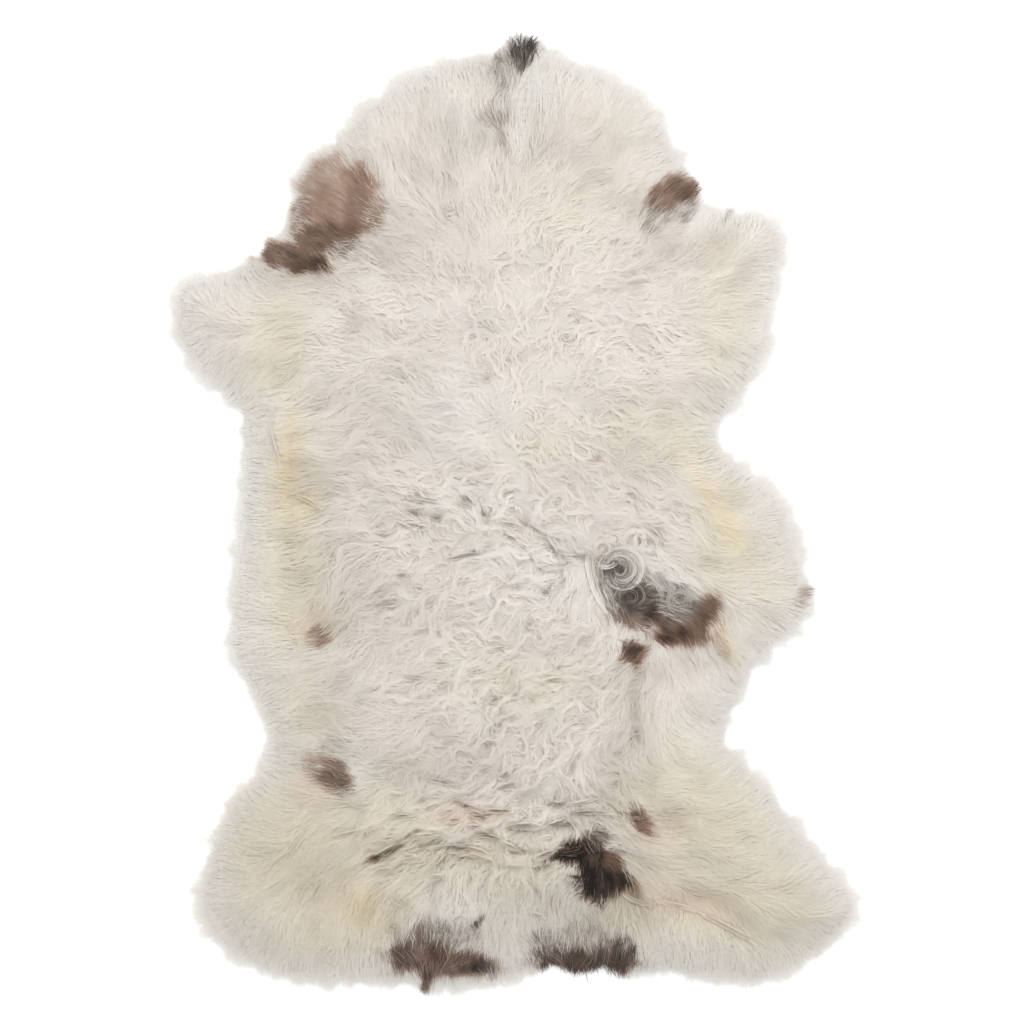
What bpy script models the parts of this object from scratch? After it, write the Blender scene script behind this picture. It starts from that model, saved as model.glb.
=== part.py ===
"""A sheepskin rug: one tanned hide that lies flat with its wool up.

Metres, +Z up. The neck lies towards +Y and the hind legs towards -Y. The origin is the centre of the rug's
footprint, on the surface that the rug lies on. The rug is one solid: a lumpy slab of wool, deep along the
back and thin at the rim, with pointed locks of wool that lie on the surface all round it.
"""

import math
import random
from collections import namedtuple

import bmesh
import bpy
from mathutils import Vector, noise
from mathutils.geometry import delaunay_2d_cdt

# The wool's depth.
BACK_HEIGHT = 0.043  # the wool's top along the back
RIM_HEIGHT = 0.013  # the wool's top where the rim locks leave the slab
SLOPE_WIDTH = 0.068  # the wool comes down from the back to the rim over this width

# The net that the slab's top is made on.
STAPLE_PITCH = 0.0136  # from one point of the net to the next
STAPLE_SHIFT = 0.12  # how far a point strays from its place, as a share of the pitch
LEAST_MARGIN = 0.7  # from a point of the net to the rim, as a share of the pitch

# Lumps: (size of a lump, how far it rises or sinks).
LUMPS = ((0.085, 0.0060), (0.042, 0.0095), (0.025, 0.0050))
RIM_LUMPS = 0.35  # the share of the lumps' height that is left at the rim

# Locks of wool round the rim.
LOCK_COUNT = 272
LOCK_LEAST = 0.78  # the shortest and the longest lock, as shares of the reach that the edge table gives
LOCK_MOST = 1.12
TUFT_WIDTH = 0.045  # neighbouring locks are long or short together, in tufts about this wide
TUFT_SHARE = 0.6  # how much of a lock's length follows its tuft
LOCK_SWAY = 0.30  # how far a tip strays along the rim, as a share of the lock's width
LOCK_WAIST_AT = 0.58  # where the lock's waist is, from root to tip
LOCK_WAIST_WIDTH = 0.78  # the waist's width, as a share of the root's
LOCK_WAIST_HEIGHT = 0.66  # the waist's height, as a share of the root's
TIP_HEIGHT = 0.0025
NORMAL_SPAN = 5  # an edge normal is averaged over this many samples on each side
CURVE_STEPS = 24  # points between two places of the edge table, before they are spaced evenly
SEED = 7

NET_MERGE = 1e-7  # points of the net nearer than this are one
TIP_MERGE = 1e-6  # and so are a lock's corners at its tip
INSIDE_ONLY = 1  # the net keeps its triangles inside the outline

WOOL_COLOUR = (0.80, 0.76, 0.68, 1.0)
CREASE_ANGLE = 50  # faces that meet at more degrees than this show an edge

# The edge that the wool's tips reach, clockwise from the neck, and how long the locks are there.
EdgePoint = namedtuple("EdgePoint", "place x y lock")
EDGE = (
    EdgePoint("neck tuft", 0.009, 0.479, 0.022),
    EdgePoint("neck, right of the tuft", 0.036, 0.459, 0.013),
    EdgePoint("neck, right", 0.098, 0.438, 0.018),
    EdgePoint("neck, right corner", 0.143, 0.401, 0.019),
    EdgePoint("cheek, right", 0.166, 0.355, 0.018),
    EdgePoint("dark spot, right", 0.184, 0.318, 0.013),
    EdgePoint("notch above the right foreleg", 0.211, 0.301, 0.010),
    EdgePoint("right foreleg, top", 0.242, 0.304, 0.012),
    EdgePoint("right foreleg, corner", 0.269, 0.286, 0.017),
    EdgePoint("right foreleg, outer side", 0.265, 0.235, 0.020),
    EdgePoint("right foreleg, lower side", 0.251, 0.160, 0.020),
    EdgePoint("right foreleg, below", 0.227, 0.119, 0.017),
    EdgePoint("right armpit", 0.198, 0.079, 0.011),
    EdgePoint("right flank, top", 0.236, 0.041, 0.016),
    EdgePoint("right flank, upper side", 0.270, 0.007, 0.019),
    EdgePoint("right flank, outer side", 0.286, -0.047, 0.019),
    EdgePoint("right flank, tuft", 0.300, -0.096, 0.020),
    EdgePoint("right flank, lower side", 0.268, -0.132, 0.018),
    EdgePoint("right flank, below", 0.236, -0.162, 0.016),
    EdgePoint("right groin", 0.212, -0.222, 0.011),
    EdgePoint("right hind leg, top", 0.237, -0.257, 0.015),
    EdgePoint("right hind leg, outer side", 0.282, -0.309, 0.021),
    EdgePoint("right hind leg, toward the tip", 0.327, -0.366, 0.022),
    EdgePoint("right hind leg, tip", 0.345, -0.401, 0.022),
    EdgePoint("right hind leg, below the tip", 0.314, -0.437, 0.021),
    EdgePoint("right hind leg, hem", 0.273, -0.462, 0.018),
    EdgePoint("right hind leg, hem point", 0.227, -0.473, 0.016),
    EdgePoint("hem, right", 0.176, -0.463, 0.013),
    EdgePoint("hem, right of the middle", 0.090, -0.459, 0.012),
    EdgePoint("hem, right dark tuft", 0.062, -0.463, 0.012),
    EdgePoint("hem, scallop", 0.032, -0.454, 0.012),
    EdgePoint("hem, small tuft", -0.024, -0.474, 0.015),
    EdgePoint("hem, left dark tuft", -0.085, -0.476, 0.017),
    EdgePoint("hem, left of the dark tuft", -0.112, -0.471, 0.014),
    EdgePoint("left hind leg, hem", -0.190, -0.471, 0.018),
    EdgePoint("left hind leg, hem corner", -0.256, -0.462, 0.021),
    EdgePoint("left hind leg, below the tip", -0.304, -0.427, 0.022),
    EdgePoint("left hind leg, tip", -0.322, -0.394, 0.022),
    EdgePoint("left hind leg, outer side", -0.308, -0.342, 0.021),
    EdgePoint("left hind leg, upper side", -0.284, -0.282, 0.020),
    EdgePoint("left hind leg, top", -0.252, -0.249, 0.015),
    EdgePoint("left groin", -0.252, -0.206, 0.012),
    EdgePoint("left flank, lower side", -0.280, -0.161, 0.017),
    EdgePoint("left flank, bulge", -0.289, -0.124, 0.018),
    EdgePoint("left flank, outer side", -0.284, -0.057, 0.016),
    EdgePoint("left flank, upper side", -0.274, 0.020, 0.015),
    EdgePoint("left flank, top", -0.276, 0.070, 0.014),
    EdgePoint("left armpit", -0.279, 0.105, 0.012),
    EdgePoint("left foreleg, below", -0.320, 0.140, 0.017),
    EdgePoint("left foreleg, outer side", -0.347, 0.182, 0.020),
    EdgePoint("left foreleg, corner", -0.336, 0.232, 0.019),
    EdgePoint("left foreleg, top", -0.287, 0.243, 0.014),
    EdgePoint("notch above the left foreleg", -0.253, 0.262, 0.011),
    EdgePoint("dark spot, left", -0.228, 0.298, 0.012),
    EdgePoint("dark spot, left, top", -0.217, 0.346, 0.016),
    EdgePoint("cheek, left", -0.175, 0.385, 0.018),
    EdgePoint("neck, left corner", -0.133, 0.426, 0.019),
    EdgePoint("neck, left", -0.084, 0.450, 0.017),
    EdgePoint("neck, left of the tuft", -0.025, 0.463, 0.015),
)

# Partings and creases, where the wool lies lower: middle, half length, half width, depth, and the turn of the
# length from +X.
Parting = namedtuple("Parting", "place x y half_length half_width depth degrees")
PARTINGS = (
    Parting("neck groove", -0.012, 0.385, 0.055, 0.020, 0.009, 100),
    Parting("swirl above the dark patch", 0.096, -0.062, 0.034, 0.017, 0.012, -35),
    Parting("parting left of the swirl", 0.045, -0.045, 0.050, 0.013, 0.008, -32),
    Parting("left flank crease", -0.262, -0.010, 0.085, 0.014, 0.007, 88),
    Parting("rump ripple, upper", -0.030, -0.285, 0.120, 0.012, 0.008, 4),
    Parting("rump ripple, lower", 0.000, -0.335, 0.150, 0.013, 0.009, -3),
    Parting("left thigh crease", -0.150, -0.395, 0.070, 0.016, 0.006, -25),
    Parting("right thigh crease", 0.215, -0.405, 0.085, 0.016, 0.009, -28),
    Parting("right groin crease", 0.145, -0.300, 0.060, 0.014, 0.006, -60),
)


def closed_curve(points, samples):
    """A closed curve through rows of numbers, sampled evenly along its length in x and y."""
    dense = []
    for i, start in enumerate(points):
        before = points[i - 1]
        end = points[(i + 1) % len(points)]
        after = points[(i + 2) % len(points)]
        for step in range(CURVE_STEPS):
            t = step / CURVE_STEPS
            dense.append(
                [
                    b + (c - a) * t / 2 + (a - 2.5 * b + 2 * c - d / 2) * t**2 + (3 * b - a - 3 * c + d) * t**3 / 2
                    for a, b, c, d in zip(before, start, end, after)
                ]
            )
    dense.append(dense[0])
    lengths = [0.0]
    for a, b in zip(dense, dense[1:]):
        lengths.append(lengths[-1] + math.dist(a[:2], b[:2]))
    even = []
    k = 0
    for i in range(samples):
        wanted = lengths[-1] * i / samples
        while lengths[k + 1] < wanted:
            k += 1
        share = (wanted - lengths[k]) / (lengths[k + 1] - lengths[k])
        even.append([a + (b - a) * share for a, b in zip(dense[k], dense[k + 1])])
    return even


def outward_normals(points):
    """The outward direction at each sample of a clockwise outline, averaged over its neighbours."""
    count = len(points)
    normals = []
    for i in range(count):
        ahead = Vector(points[(i + NORMAL_SPAN) % count][:2])
        behind = Vector(points[i - NORMAL_SPAN][:2])
        along = (ahead - behind).normalized()
        normals.append(Vector((-along.y, along.x)))
    return normals


def distance_to_loop(point, loop):
    """How far a point lies from a closed outline."""
    nearest = math.inf
    for a, b in zip(loop, loop[1:] + loop[:1]):
        along = b - a
        share = max(0.0, min(1.0, (point - a).dot(along) / along.length_squared))
        nearest = min(nearest, (point - a - along * share).length)
    return nearest


def inside(point, loop):
    """Whether a point lies inside a closed outline."""
    crossings = 0
    for a, b in zip(loop, loop[1:] + loop[:1]):
        if (a.y > point.y) != (b.y > point.y):
            crossings += point.x < a.x + (b.x - a.x) * (point.y - a.y) / (b.y - a.y)
    return crossings % 2 == 1


def parting_depth(point):
    """How much lower the wool lies at a point because of the partings."""
    deepest = 0.0
    for parting in PARTINGS:
        turn = math.radians(parting.degrees)
        away = point - Vector((parting.x, parting.y))
        along = (away.x * math.cos(turn) + away.y * math.sin(turn)) / parting.half_length
        across = (away.y * math.cos(turn) - away.x * math.sin(turn)) / parting.half_width
        deepest = max(deepest, parting.depth * math.exp(-(along**2) - across**2))
    return deepest


def wool_height(point, from_rim):
    """The height of the wool's top at a point that lies this far from the rim."""
    share = min(1.0, from_rim / SLOPE_WIDTH)
    rise = math.sqrt(1 - (1 - share) ** 2)
    height = RIM_HEIGHT + (BACK_HEIGHT - RIM_HEIGHT) * rise
    lumps = 0.0
    for size, amount in LUMPS:
        lumps += amount * noise.noise(Vector((point.x, point.y, size)) / size)
    height += lumps * (RIM_LUMPS + (1 - RIM_LUMPS) * rise)
    return height - parting_depth(point) * rise


def net_points(loop, rng):
    """Points inside the outline, in staggered rows, each a little off its place."""
    low = [min(p[k] for p in loop) for k in (0, 1)]
    high = [max(p[k] for p in loop) for k in (0, 1)]
    row_pitch = STAPLE_PITCH * math.sqrt(3) / 2
    stray = STAPLE_PITCH * STAPLE_SHIFT
    points = []
    for row in range(int((high[1] - low[1]) / row_pitch) + 1):
        start = low[0] + STAPLE_PITCH * (0.5 if row % 2 else 0.0)
        for column in range(int((high[0] - low[0]) / STAPLE_PITCH) + 1):
            point = Vector((start + column * STAPLE_PITCH, low[1] + row * row_pitch))
            point += Vector((rng.uniform(-stray, stray), rng.uniform(-stray, stray)))
            if inside(point, loop) and distance_to_loop(point, loop) > LEAST_MARGIN * STAPLE_PITCH:
                points.append(point)
    return points


def add_slab(bm, roots, rng):
    """The slab of wool. Returns its wall faces in the order of the outline."""
    count = len(roots)
    plan = roots + net_points(roots, rng)
    rim = [(i, (i + 1) % count) for i in range(count)]
    places, _, triangles, *_ = delaunay_2d_cdt(plan, rim, [], INSIDE_ONLY, NET_MERGE)
    top = []
    for i, place in enumerate(places):
        from_rim = 0.0 if i < count else distance_to_loop(place, roots)
        top.append(bm.verts.new((place.x, place.y, wool_height(place, from_rim))))
    for triangle in triangles:
        bm.faces.new([top[i] for i in triangle])
    foot = [bm.verts.new((v.co.x, v.co.y, 0.0)) for v in top[:count]]
    walls = [bm.faces.new((top[a], top[b], foot[b], foot[a])) for a, b in rim]
    bm.faces.new(foot)
    return walls


def draw_out(bm, face, centre, width, height, along):
    """Extrudes a lock's end face to a section of this width and height whose foot is at centre."""
    end = bmesh.ops.extrude_discrete_faces(bm, faces=[face])["faces"][0]
    middle = end.calc_center_median()
    for vert in end.verts:
        side = 0.5 if (vert.co - middle).dot(along) > 0 else -0.5
        upper = vert.co.z > middle.z
        vert.co = centre + along * width * side
        vert.co.z = height if upper else 0.0
    return end


def add_lock(bm, wall, tip, rng):
    """One lock of wool, drawn out from a face of the slab's wall to a tip that lies on the surface."""
    feet = [vert.co.copy() for vert in wall.verts if vert.co.z == 0.0]
    root_height = max(vert.co.z for vert in wall.verts)
    root = (feet[0] + feet[1]) / 2
    across = feet[1] - feet[0]
    along = across.normalized()
    sway = along * across.length * rng.uniform(-LOCK_SWAY, LOCK_SWAY)
    tuft = 0.5 + noise.noise(tip / TUFT_WIDTH)
    length = TUFT_SHARE * min(1.0, max(0.0, tuft)) + (1 - TUFT_SHARE) * rng.random()
    reach = (tip - root) * (LOCK_LEAST + (LOCK_MOST - LOCK_LEAST) * length)
    waist = root + reach * LOCK_WAIST_AT + sway * LOCK_WAIST_AT**2
    end = draw_out(
        bm, wall, waist, across.length * LOCK_WAIST_WIDTH, root_height * LOCK_WAIST_HEIGHT, along
    )
    end = draw_out(bm, end, root + reach + sway, 0.0, TIP_HEIGHT, along)
    bmesh.ops.remove_doubles(bm, verts=end.verts[:], dist=TIP_MERGE)


def make_material():
    """Matt cream wool."""
    material = bpy.data.materials.new("wool")
    material.use_nodes = True
    shader = material.node_tree.nodes["Principled BSDF"]
    shader.inputs["Base Color"].default_value = WOOL_COLOUR
    shader.inputs["Roughness"].default_value = 0.95
    shader.inputs["Metallic"].default_value = 0.0
    return material


def make_sheepskin(collection):
    """The whole rug as one object, centred on its footprint."""
    rng = random.Random(SEED)
    rows = [(p.x, p.y, p.lock) for p in EDGE]
    samples = closed_curve(rows, 2 * LOCK_COUNT)
    normals = outward_normals(samples)
    # Even samples give the corners between locks, and odd ones give the locks' tips.
    corners = [Vector(s[:2]) - n * s[2] for s, n in zip(samples[0::2], normals[0::2])]
    tips = [Vector((*s[:2], 0.0)) for s in samples[1::2]]

    bm = bmesh.new()
    walls = add_slab(bm, corners, rng)
    for wall, tip in zip(walls, tips):
        add_lock(bm, wall, tip, rng)
    bmesh.ops.recalc_face_normals(bm, faces=bm.faces[:])

    places = [vert.co for vert in bm.verts]
    middle = Vector([(min(p[k] for p in places) + max(p[k] for p in places)) / 2 for k in (0, 1)] + [0.0])
    bmesh.ops.translate(bm, verts=bm.verts[:], vec=-middle)

    mesh = bpy.data.meshes.new("sheepskin")
    bm.to_mesh(mesh)
    bm.free()
    mesh.shade_smooth()
    mesh.set_sharp_from_angle(angle=math.radians(CREASE_ANGLE))
    mesh.materials.append(make_material())
    rug = bpy.data.objects.new("sheepskin", mesh)
    collection.objects.link(rug)
    return rug


def main():
    for obj in list(bpy.data.objects):
        bpy.data.objects.remove(obj)
    collection = bpy.data.collections.new("Sheepskin rug")
    bpy.context.scene.collection.children.link(collection)
    make_sheepskin(collection)


main()
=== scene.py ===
import math

import bpy
import numpy as np
from mathutils.bvhtree import BVHTree
from mathutils.kdtree import KDTree
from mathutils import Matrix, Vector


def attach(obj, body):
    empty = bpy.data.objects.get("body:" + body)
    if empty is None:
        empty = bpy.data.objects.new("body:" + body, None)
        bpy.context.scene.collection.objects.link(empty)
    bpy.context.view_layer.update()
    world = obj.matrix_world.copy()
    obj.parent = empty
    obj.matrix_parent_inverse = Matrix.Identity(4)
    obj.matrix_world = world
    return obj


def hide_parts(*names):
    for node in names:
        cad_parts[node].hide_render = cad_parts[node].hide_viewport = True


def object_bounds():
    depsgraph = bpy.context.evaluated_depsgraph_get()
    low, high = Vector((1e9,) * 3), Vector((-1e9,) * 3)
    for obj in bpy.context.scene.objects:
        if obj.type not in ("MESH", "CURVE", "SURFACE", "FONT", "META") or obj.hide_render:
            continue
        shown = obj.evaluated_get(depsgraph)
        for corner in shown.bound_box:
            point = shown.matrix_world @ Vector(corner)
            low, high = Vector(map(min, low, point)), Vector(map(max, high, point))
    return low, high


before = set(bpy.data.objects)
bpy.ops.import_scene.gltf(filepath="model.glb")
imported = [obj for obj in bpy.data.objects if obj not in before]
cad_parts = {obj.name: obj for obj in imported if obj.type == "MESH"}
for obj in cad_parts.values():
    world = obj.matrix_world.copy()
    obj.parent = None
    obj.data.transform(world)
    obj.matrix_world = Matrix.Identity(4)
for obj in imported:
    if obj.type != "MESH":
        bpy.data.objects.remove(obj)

# Metres, +Z up, the neck towards +Y. The rug is a tanned hide with an underwool on it, and over that the
# long wool, which is made as thin curved wisps that lie in locks. The tables of places are in millimetres.
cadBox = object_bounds()
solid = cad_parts["sheepskin"]
up = np.array((0.0, 0.0, 1.0))

# The lay of the wool: how high it stands at each place, and which way it is combed
lay = {
    "pitch": 0.0015,       # from one point of the net to the next
    "margin": 0.040,       # of the net past the rug's box
    "castHeight": 0.2,     # rays go down from here
    "plainShade": 0.10,    # how much darker the straight wool is
    "clump": 0.0062,       # width of the straight wool's clumps
    "clumpReach": 0.018,   # their half length
    "clumpHeight": 0.0014,
    "clumpShade": 0.16,    # painted shade, how much darker it is between them
    "clumpStray": 0.24,    # and how far they stray from the combing, beside its strength of 1
    "woolFrom": 0.0005,    # there is wool where the solid is higher than this
    "lockGap": 0.007,      # the rim's locks are taken as one edge across gaps of twice this
    "edgeBlur": 0.002,
    "slopeBlur": 0.006,
    "topBlur": 0.006,
    "facingBlur": 0.003,   # of the height from which the wisps' shading is taken
    "combBlur": 0.006,
    "rimPull": 4.0,        # how strongly the rim's wool points outwards
    "rimReach": 0.018,     # how far in from the edge that pull is felt
    "unruly": 0.42,        # how much the curly wool strays from the combing, beside its strength of 1
    "unrulySize": 0.0065,
    "streak": 0.0019,      # width of the strands that the combing leaves
    "streakReach": 0.010,  # their half length
    "streakHeight": 0.0016,  # for a relief of 1
    "streakOpen": 0.30,    # painted shade between them, beside a deep crease's 1
    "waveSize": 0.0075,    # of the slow ups and downs everywhere
    "waveHeight": 0.0007,
}
low, high = cadBox
netX = np.arange(low.x - lay["margin"], high.x + lay["margin"], lay["pitch"])
netY = np.arange(low.y - lay["margin"], high.y + lay["margin"], lay["pitch"])
gridX, gridY = np.meshgrid(netX, netY)

# The way that the wool is combed: place, then x, y, reach and degrees from +X. In this and the other tables
# a place has one row of numbers, or several in brackets
combing = (
    ("neck",
        (-120, 403, 30, 106), (-75, 423, 30, 99), (5, 443, 30, 92), (55, 413, 30, 76), (105, 383, 30, 60)),
    ("nape", (85, 345, 30, 42), (45, 318, 25, 34), (-30, 363, 25, 98), (-95, 333, 30, 112)),
    ("left cheek", (-170, 343, 28, 110), (-215, 302, 22, 145), (-195, 262, 24, 138), (-250, 261, 22, 172)),
    ("right cheek", (125, 323, 25, 52), (158, 318, 22, 50)),
    ("right foreleg",
        (212, 286, 22, 55), (245, 262, 24, 28), (185, 243, 30, 22), (205, 183, 30, -8),
        (220, 123, 28, -24)),
    ("left foreleg",
        (-300, 222, 26, 150), (-320, 173, 28, 194), (-280, 128, 26, 228), (-240, 180, 32, 192)),
    ("left shoulder", (-205, 133, 32, 203), (-115, 253, 36, 158), (-150, 190, 32, 186)),
    ("withers", 5, 258, 32, 72),
    ("right shoulder", 105, 233, 36, 14),
    ("back", (-45, 183, 34, 140), (45, 163, 34, 48)),
    ("right ribs", 135, 168, 34, -10),
    ("left ribs", -185, 98, 32, 204),
    ("back", -85, 93, 30, 158),
    ("right ribs", (125, 83, 34, -16), (185, 70, 30, -6)),
    ("left flank", (-245, 43, 32, 180), (-215, -27, 30, 187), (-260, -87, 32, 186)),
    ("left back", (-145, -7, 34, 184), (-115, -52, 30, 202), (-175, -92, 28, 224)),
    ("middle back", (-45, 18, 34, 168), (40, 45, 32, -20)),
    ("right flank",
        (218, 8, 22, -52), (172, 10, 28, -24), (262, -47, 28, -10), (270, -95, 24, 4), (245, -125, 22, -34),
        (205, -142, 24, -66)),
    ("about the swirl", (20, -20, 22, 142), (28, -62, 20, 190), (84, -92, 18, -84), (135, -60, 22, 8)),
    ("dark patch", 172, -92, 22, -40),
    ("loin", -70, -107, 30, 214),
    ("left of the swirl", 40, -95, 20, 222),
    ("loin", (30, -125, 26, 196), (85, -167, 26, 205), (-95, -187, 32, 192), (-5, -205, 32, 238)),
    ("left groin", (-235, -187, 30, 190), (-185, -247, 26, 176)),
    ("rump", (-100, -250, 30, 205), (85, -227, 30, 252)),
    ("right groin", (128, -197, 26, 246), (185, -207, 26, -32)),
    ("rump ripple", (-65, -302, 30, 196), (20, -305, 26, 250), (88, -287, 26, -22)),
    ("right thigh", (175, -287, 30, -5), (240, -297, 28, 14), (275, -337, 26, 4), (200, -350, 30, -14)),
    ("right hind leg", (295, -378, 28, -12), (245, -418, 26, -52)),
    ("hem",
        (180, -430, 28, -74), (115, -425, 26, -84), (70, -437, 24, -90), (-5, -417, 28, -96),
        (-75, -432, 26, -98), (-150, -432, 30, -106)),
    ("left hind leg",
        (-205, -425, 28, -118), (-190, -372, 26, -122), (-265, -410, 26, -136), (-280, -347, 28, 198),
        (-260, -287, 28, 190)),
    ("left thigh", (-205, -325, 28, 212), (-115, -340, 30, 206)),
    ("left hem mark", (-50, -452, 20, 228), (-112, -450, 18, 284)),
    ("below the ripple", (-45, -367, 28, 246), (45, -377, 26, 262)),
)

# Where the wool turns about a point: place, x, y, reach, outward pull, clockwise pull
whorls = (
    ("crown", 80, -47, 20, 2.5, 0),
    ("swirl", 107, -57, 15, 0.2, 5),
    ("curl above the swirl", 124, -26, 6, 0, 3),
    ("curl on the grey wool", 163, -84, 8, 0, -3),
    ("curl on the dark wool", 120, -83, 9, 0.3, 2.5),
    ("curl, middle back", -30, 4, 9, 0, 2),
    ("curl, loin", 20, -104, 11, 0, -2),
    ("curl, low back", 3, -232, 12, 0, 2),
    ("curl, left back", -85, -120, 12, 0, 1.5),
)

# How the wool curls: place, x, y, reach, length of a bend, bend in radians, relief of its strands
curling = (
    ("neck", -10, 400, 50, 22, 0.12, 0.15),
    ("nape", -10, 320, 40, 14, 0.4, 0.12),
    ("withers", 0, 240, 50, 11, 0.75, 0.18),
    ("left shoulder", -110, 190, 45, 12, 0.6, 0.25),
    ("right shoulder", 110, 180, 45, 11, 0.7, 0.35),
    ("upper back", 0, 130, 50, 11, 0.9, 0.32),
    ("pale patch", -80, 90, 30, 18, 0.35, 0.3),
    ("middle back", -40, 0, 50, 16, 0.75, 0.9),
    ("left back", -140, -30, 40, 20, 0.4, 0.6),
    ("right ribs", 110, 40, 45, 12, 0.75, 0.45),
    ("swirl", 60, -60, 35, 20, 0.4, 0.9),
    ("loin", -40, -110, 45, 15, 0.95, 0.75),
    ("loin, right", 70, -140, 35, 14, 0.6, 0.8),
    ("low back", 0, -180, 45, 13, 0.8, 0.75),
    ("rump", 0, -245, 50, 11, 0.95, 0.75),
    ("rump, left", -100, -230, 40, 13, 0.55, 0.4),
    ("rump ripple", 10, -305, 35, 18, 0.55, 1.25),
    ("rump ripple, left", -90, -310, 30, 20, 0.35, 1),
    ("below the ripple", 0, -365, 35, 13, 0.7, 0.8),
    ("hem", 0, -425, 35, 13, 0.4, 0.55),
)
straight = {"bend": 0.10, "bendLength": 0.024, "relief": 0.12, "weight": 0.10}
curlFrom, curlFull = 0.030, 0.095  # how far in from the edge the curls begin, and where they are full
fineBend, broadBend = 0.0105, 0.0185   # lengths of the bends in the finest and the broadest curls
bendPerSize = 6.5                      # length of a bend, beside the size of the noise that makes it

# Creases where the wool opens: place, then x, y, half length, half width, depth and degrees
creases = (
    ("back",
        (-90, 14, 13, 2.4, 6, -6), (-48, 13, 5.5, 4.5, 8, -40), (-77, -4, 5, 3.5, 8, 0),
        (-99, 0, 8, 2.4, 5, -25), (-99, -12, 12, 1.8, 6, -16), (-29, -2, 4, 6, 7, 30),
        (-132, -22, 6, 2.2, 6, -15), (-47, -41, 14, 2, 10, 12)),
    ("above the swirl", (18, -14, 12, 1.6, 6, -38), (-3, -25, 7, 1.8, 6, -35), (44, -40, 14, 1.5, 7, -43)),
    ("left of the swirl", 40, -53, 18, 1.6, 7, 12),
    ("crown", 67, -42, 6, 1.8, 10, 4),
    ("crown, right", 88.5, -44.5, 5, 1.8, 10, 2),
    ("falls", 84.5, -62, 10, 1.4, 9, 94),
    ("falls, low", 89.5, -83, 14, 1.4, 9, -65),
    ("left of the swirl", (32, -77, 5, 3.5, 7, 40), (47, -70, 8, 1.6, 6, 60)),
    ("left back", (-111, -61, 5, 2.8, 6, 0), (-125, -90, 10, 2, 6, 6), (-84, -89, 5, 2.6, 6, 30)),
    ("loin",
        (15, -109, 4, 4, 7, 0), (-72, -148, 10, 1.8, 6, 0), (-100, -164, 9, 2, 6, -12),
        (-40, -158, 4, 2, 5, 20), (-15, -134, 6, 1.8, 6, 10), (44, -153, 4, 2, 7, 20),
        (38, -166, 10, 2, 7, 8)),
    ("low back",
        (-20, -185, 5, 2.6, 6, 25), (17, -184, 6, 2, 5, -25), (0, -180, 3, 3, 5, 20),
        (26, -209, 3, 4, 5, 15), (-16, -211, 5, 2.6, 5, 30), (-24, -229, 3, 3, 6, 0),
        (76, -188, 3, 4, 4, 25), (58, -247, 14, 1.4, 5, 60)),
    ("rump",
        (-10, -261, 7, 2.4, 6, 10), (-30, -255, 5, 2.2, 5, 20), (-74, -266, 12, 2, 6, -12),
        (-6, -272, 12, 1.8, 6, 4)),
    ("rump ripple",
        (-53, -289, 8, 2.2, 10, -20), (-35, -301, 8, 2.4, 9, -28), (-115, -300, 12, 2, 8, 0),
        (6, -312, 12, 6, 7, -12), (47, -310, 11, 2.6, 10, 10), (43, -289, 12, 1.8, 8, 4),
        (65, -297, 12, 2.2, 8, 8), (-103, -318, 13, 2.2, 9, 28), (-28, -320, 10, 2.2, 9, -22),
        (77, -320, 8, 2.2, 9, -30), (-85, -328, 14, 2, 9, 14), (-58, -333, 12, 2.2, 9, -6),
        (-130, -338, 20, 2.4, 12, 26), (-40, -345, 18, 2, 8, -8), (10, -336, 16, 2.2, 8, 6),
        (-5, -352, 16, 2, 7, -4), (28, -352, 10, 2.4, 8, 12), (110, -338, 12, 2.2, 6, -18)),
    ("left thigh", -165, -318, 16, 2, 4, 12),
    ("left hem", (-113, -386, 14, 2.2, 5, -35), (-120, -412, 4, 2.8, 5, 0)),
    ("right hem", 120, -382, 16, 2.2, 5, -25),
    ("neck", -65, 300, 6, 3, 3, 10),
    ("right shoulder", (65, 195, 8, 1.8, 4, -50), (52, 176, 4, 3, 4, 0)),
    ("upper back", (-28, 134, 4, 2.8, 5, 30), (-42, 212, 5, 2.2, 3, 0), (-110, 135, 6, 1.8, 4, -40)),
    ("left ribs", -196, 108, 14, 2.6, 3, 15),
    ("right of the swirl", (140, -20, 10, 1.6, 5, -40), (118, 16, 3, 2.2, 4, 0)),
    ("right groin", 122, -220, 4, 11, 4, 10),
)

creaseForm = {
    "above": 0.6,    # a crease is narrow on its upper side, beside its half width
    "below": 1.5,    # and wide on its lower side, where it runs out over the wool
    "length": 1.1,
    "depth": 0.75,
    "fall": 1.1,     # how sharply it runs out
}

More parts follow.
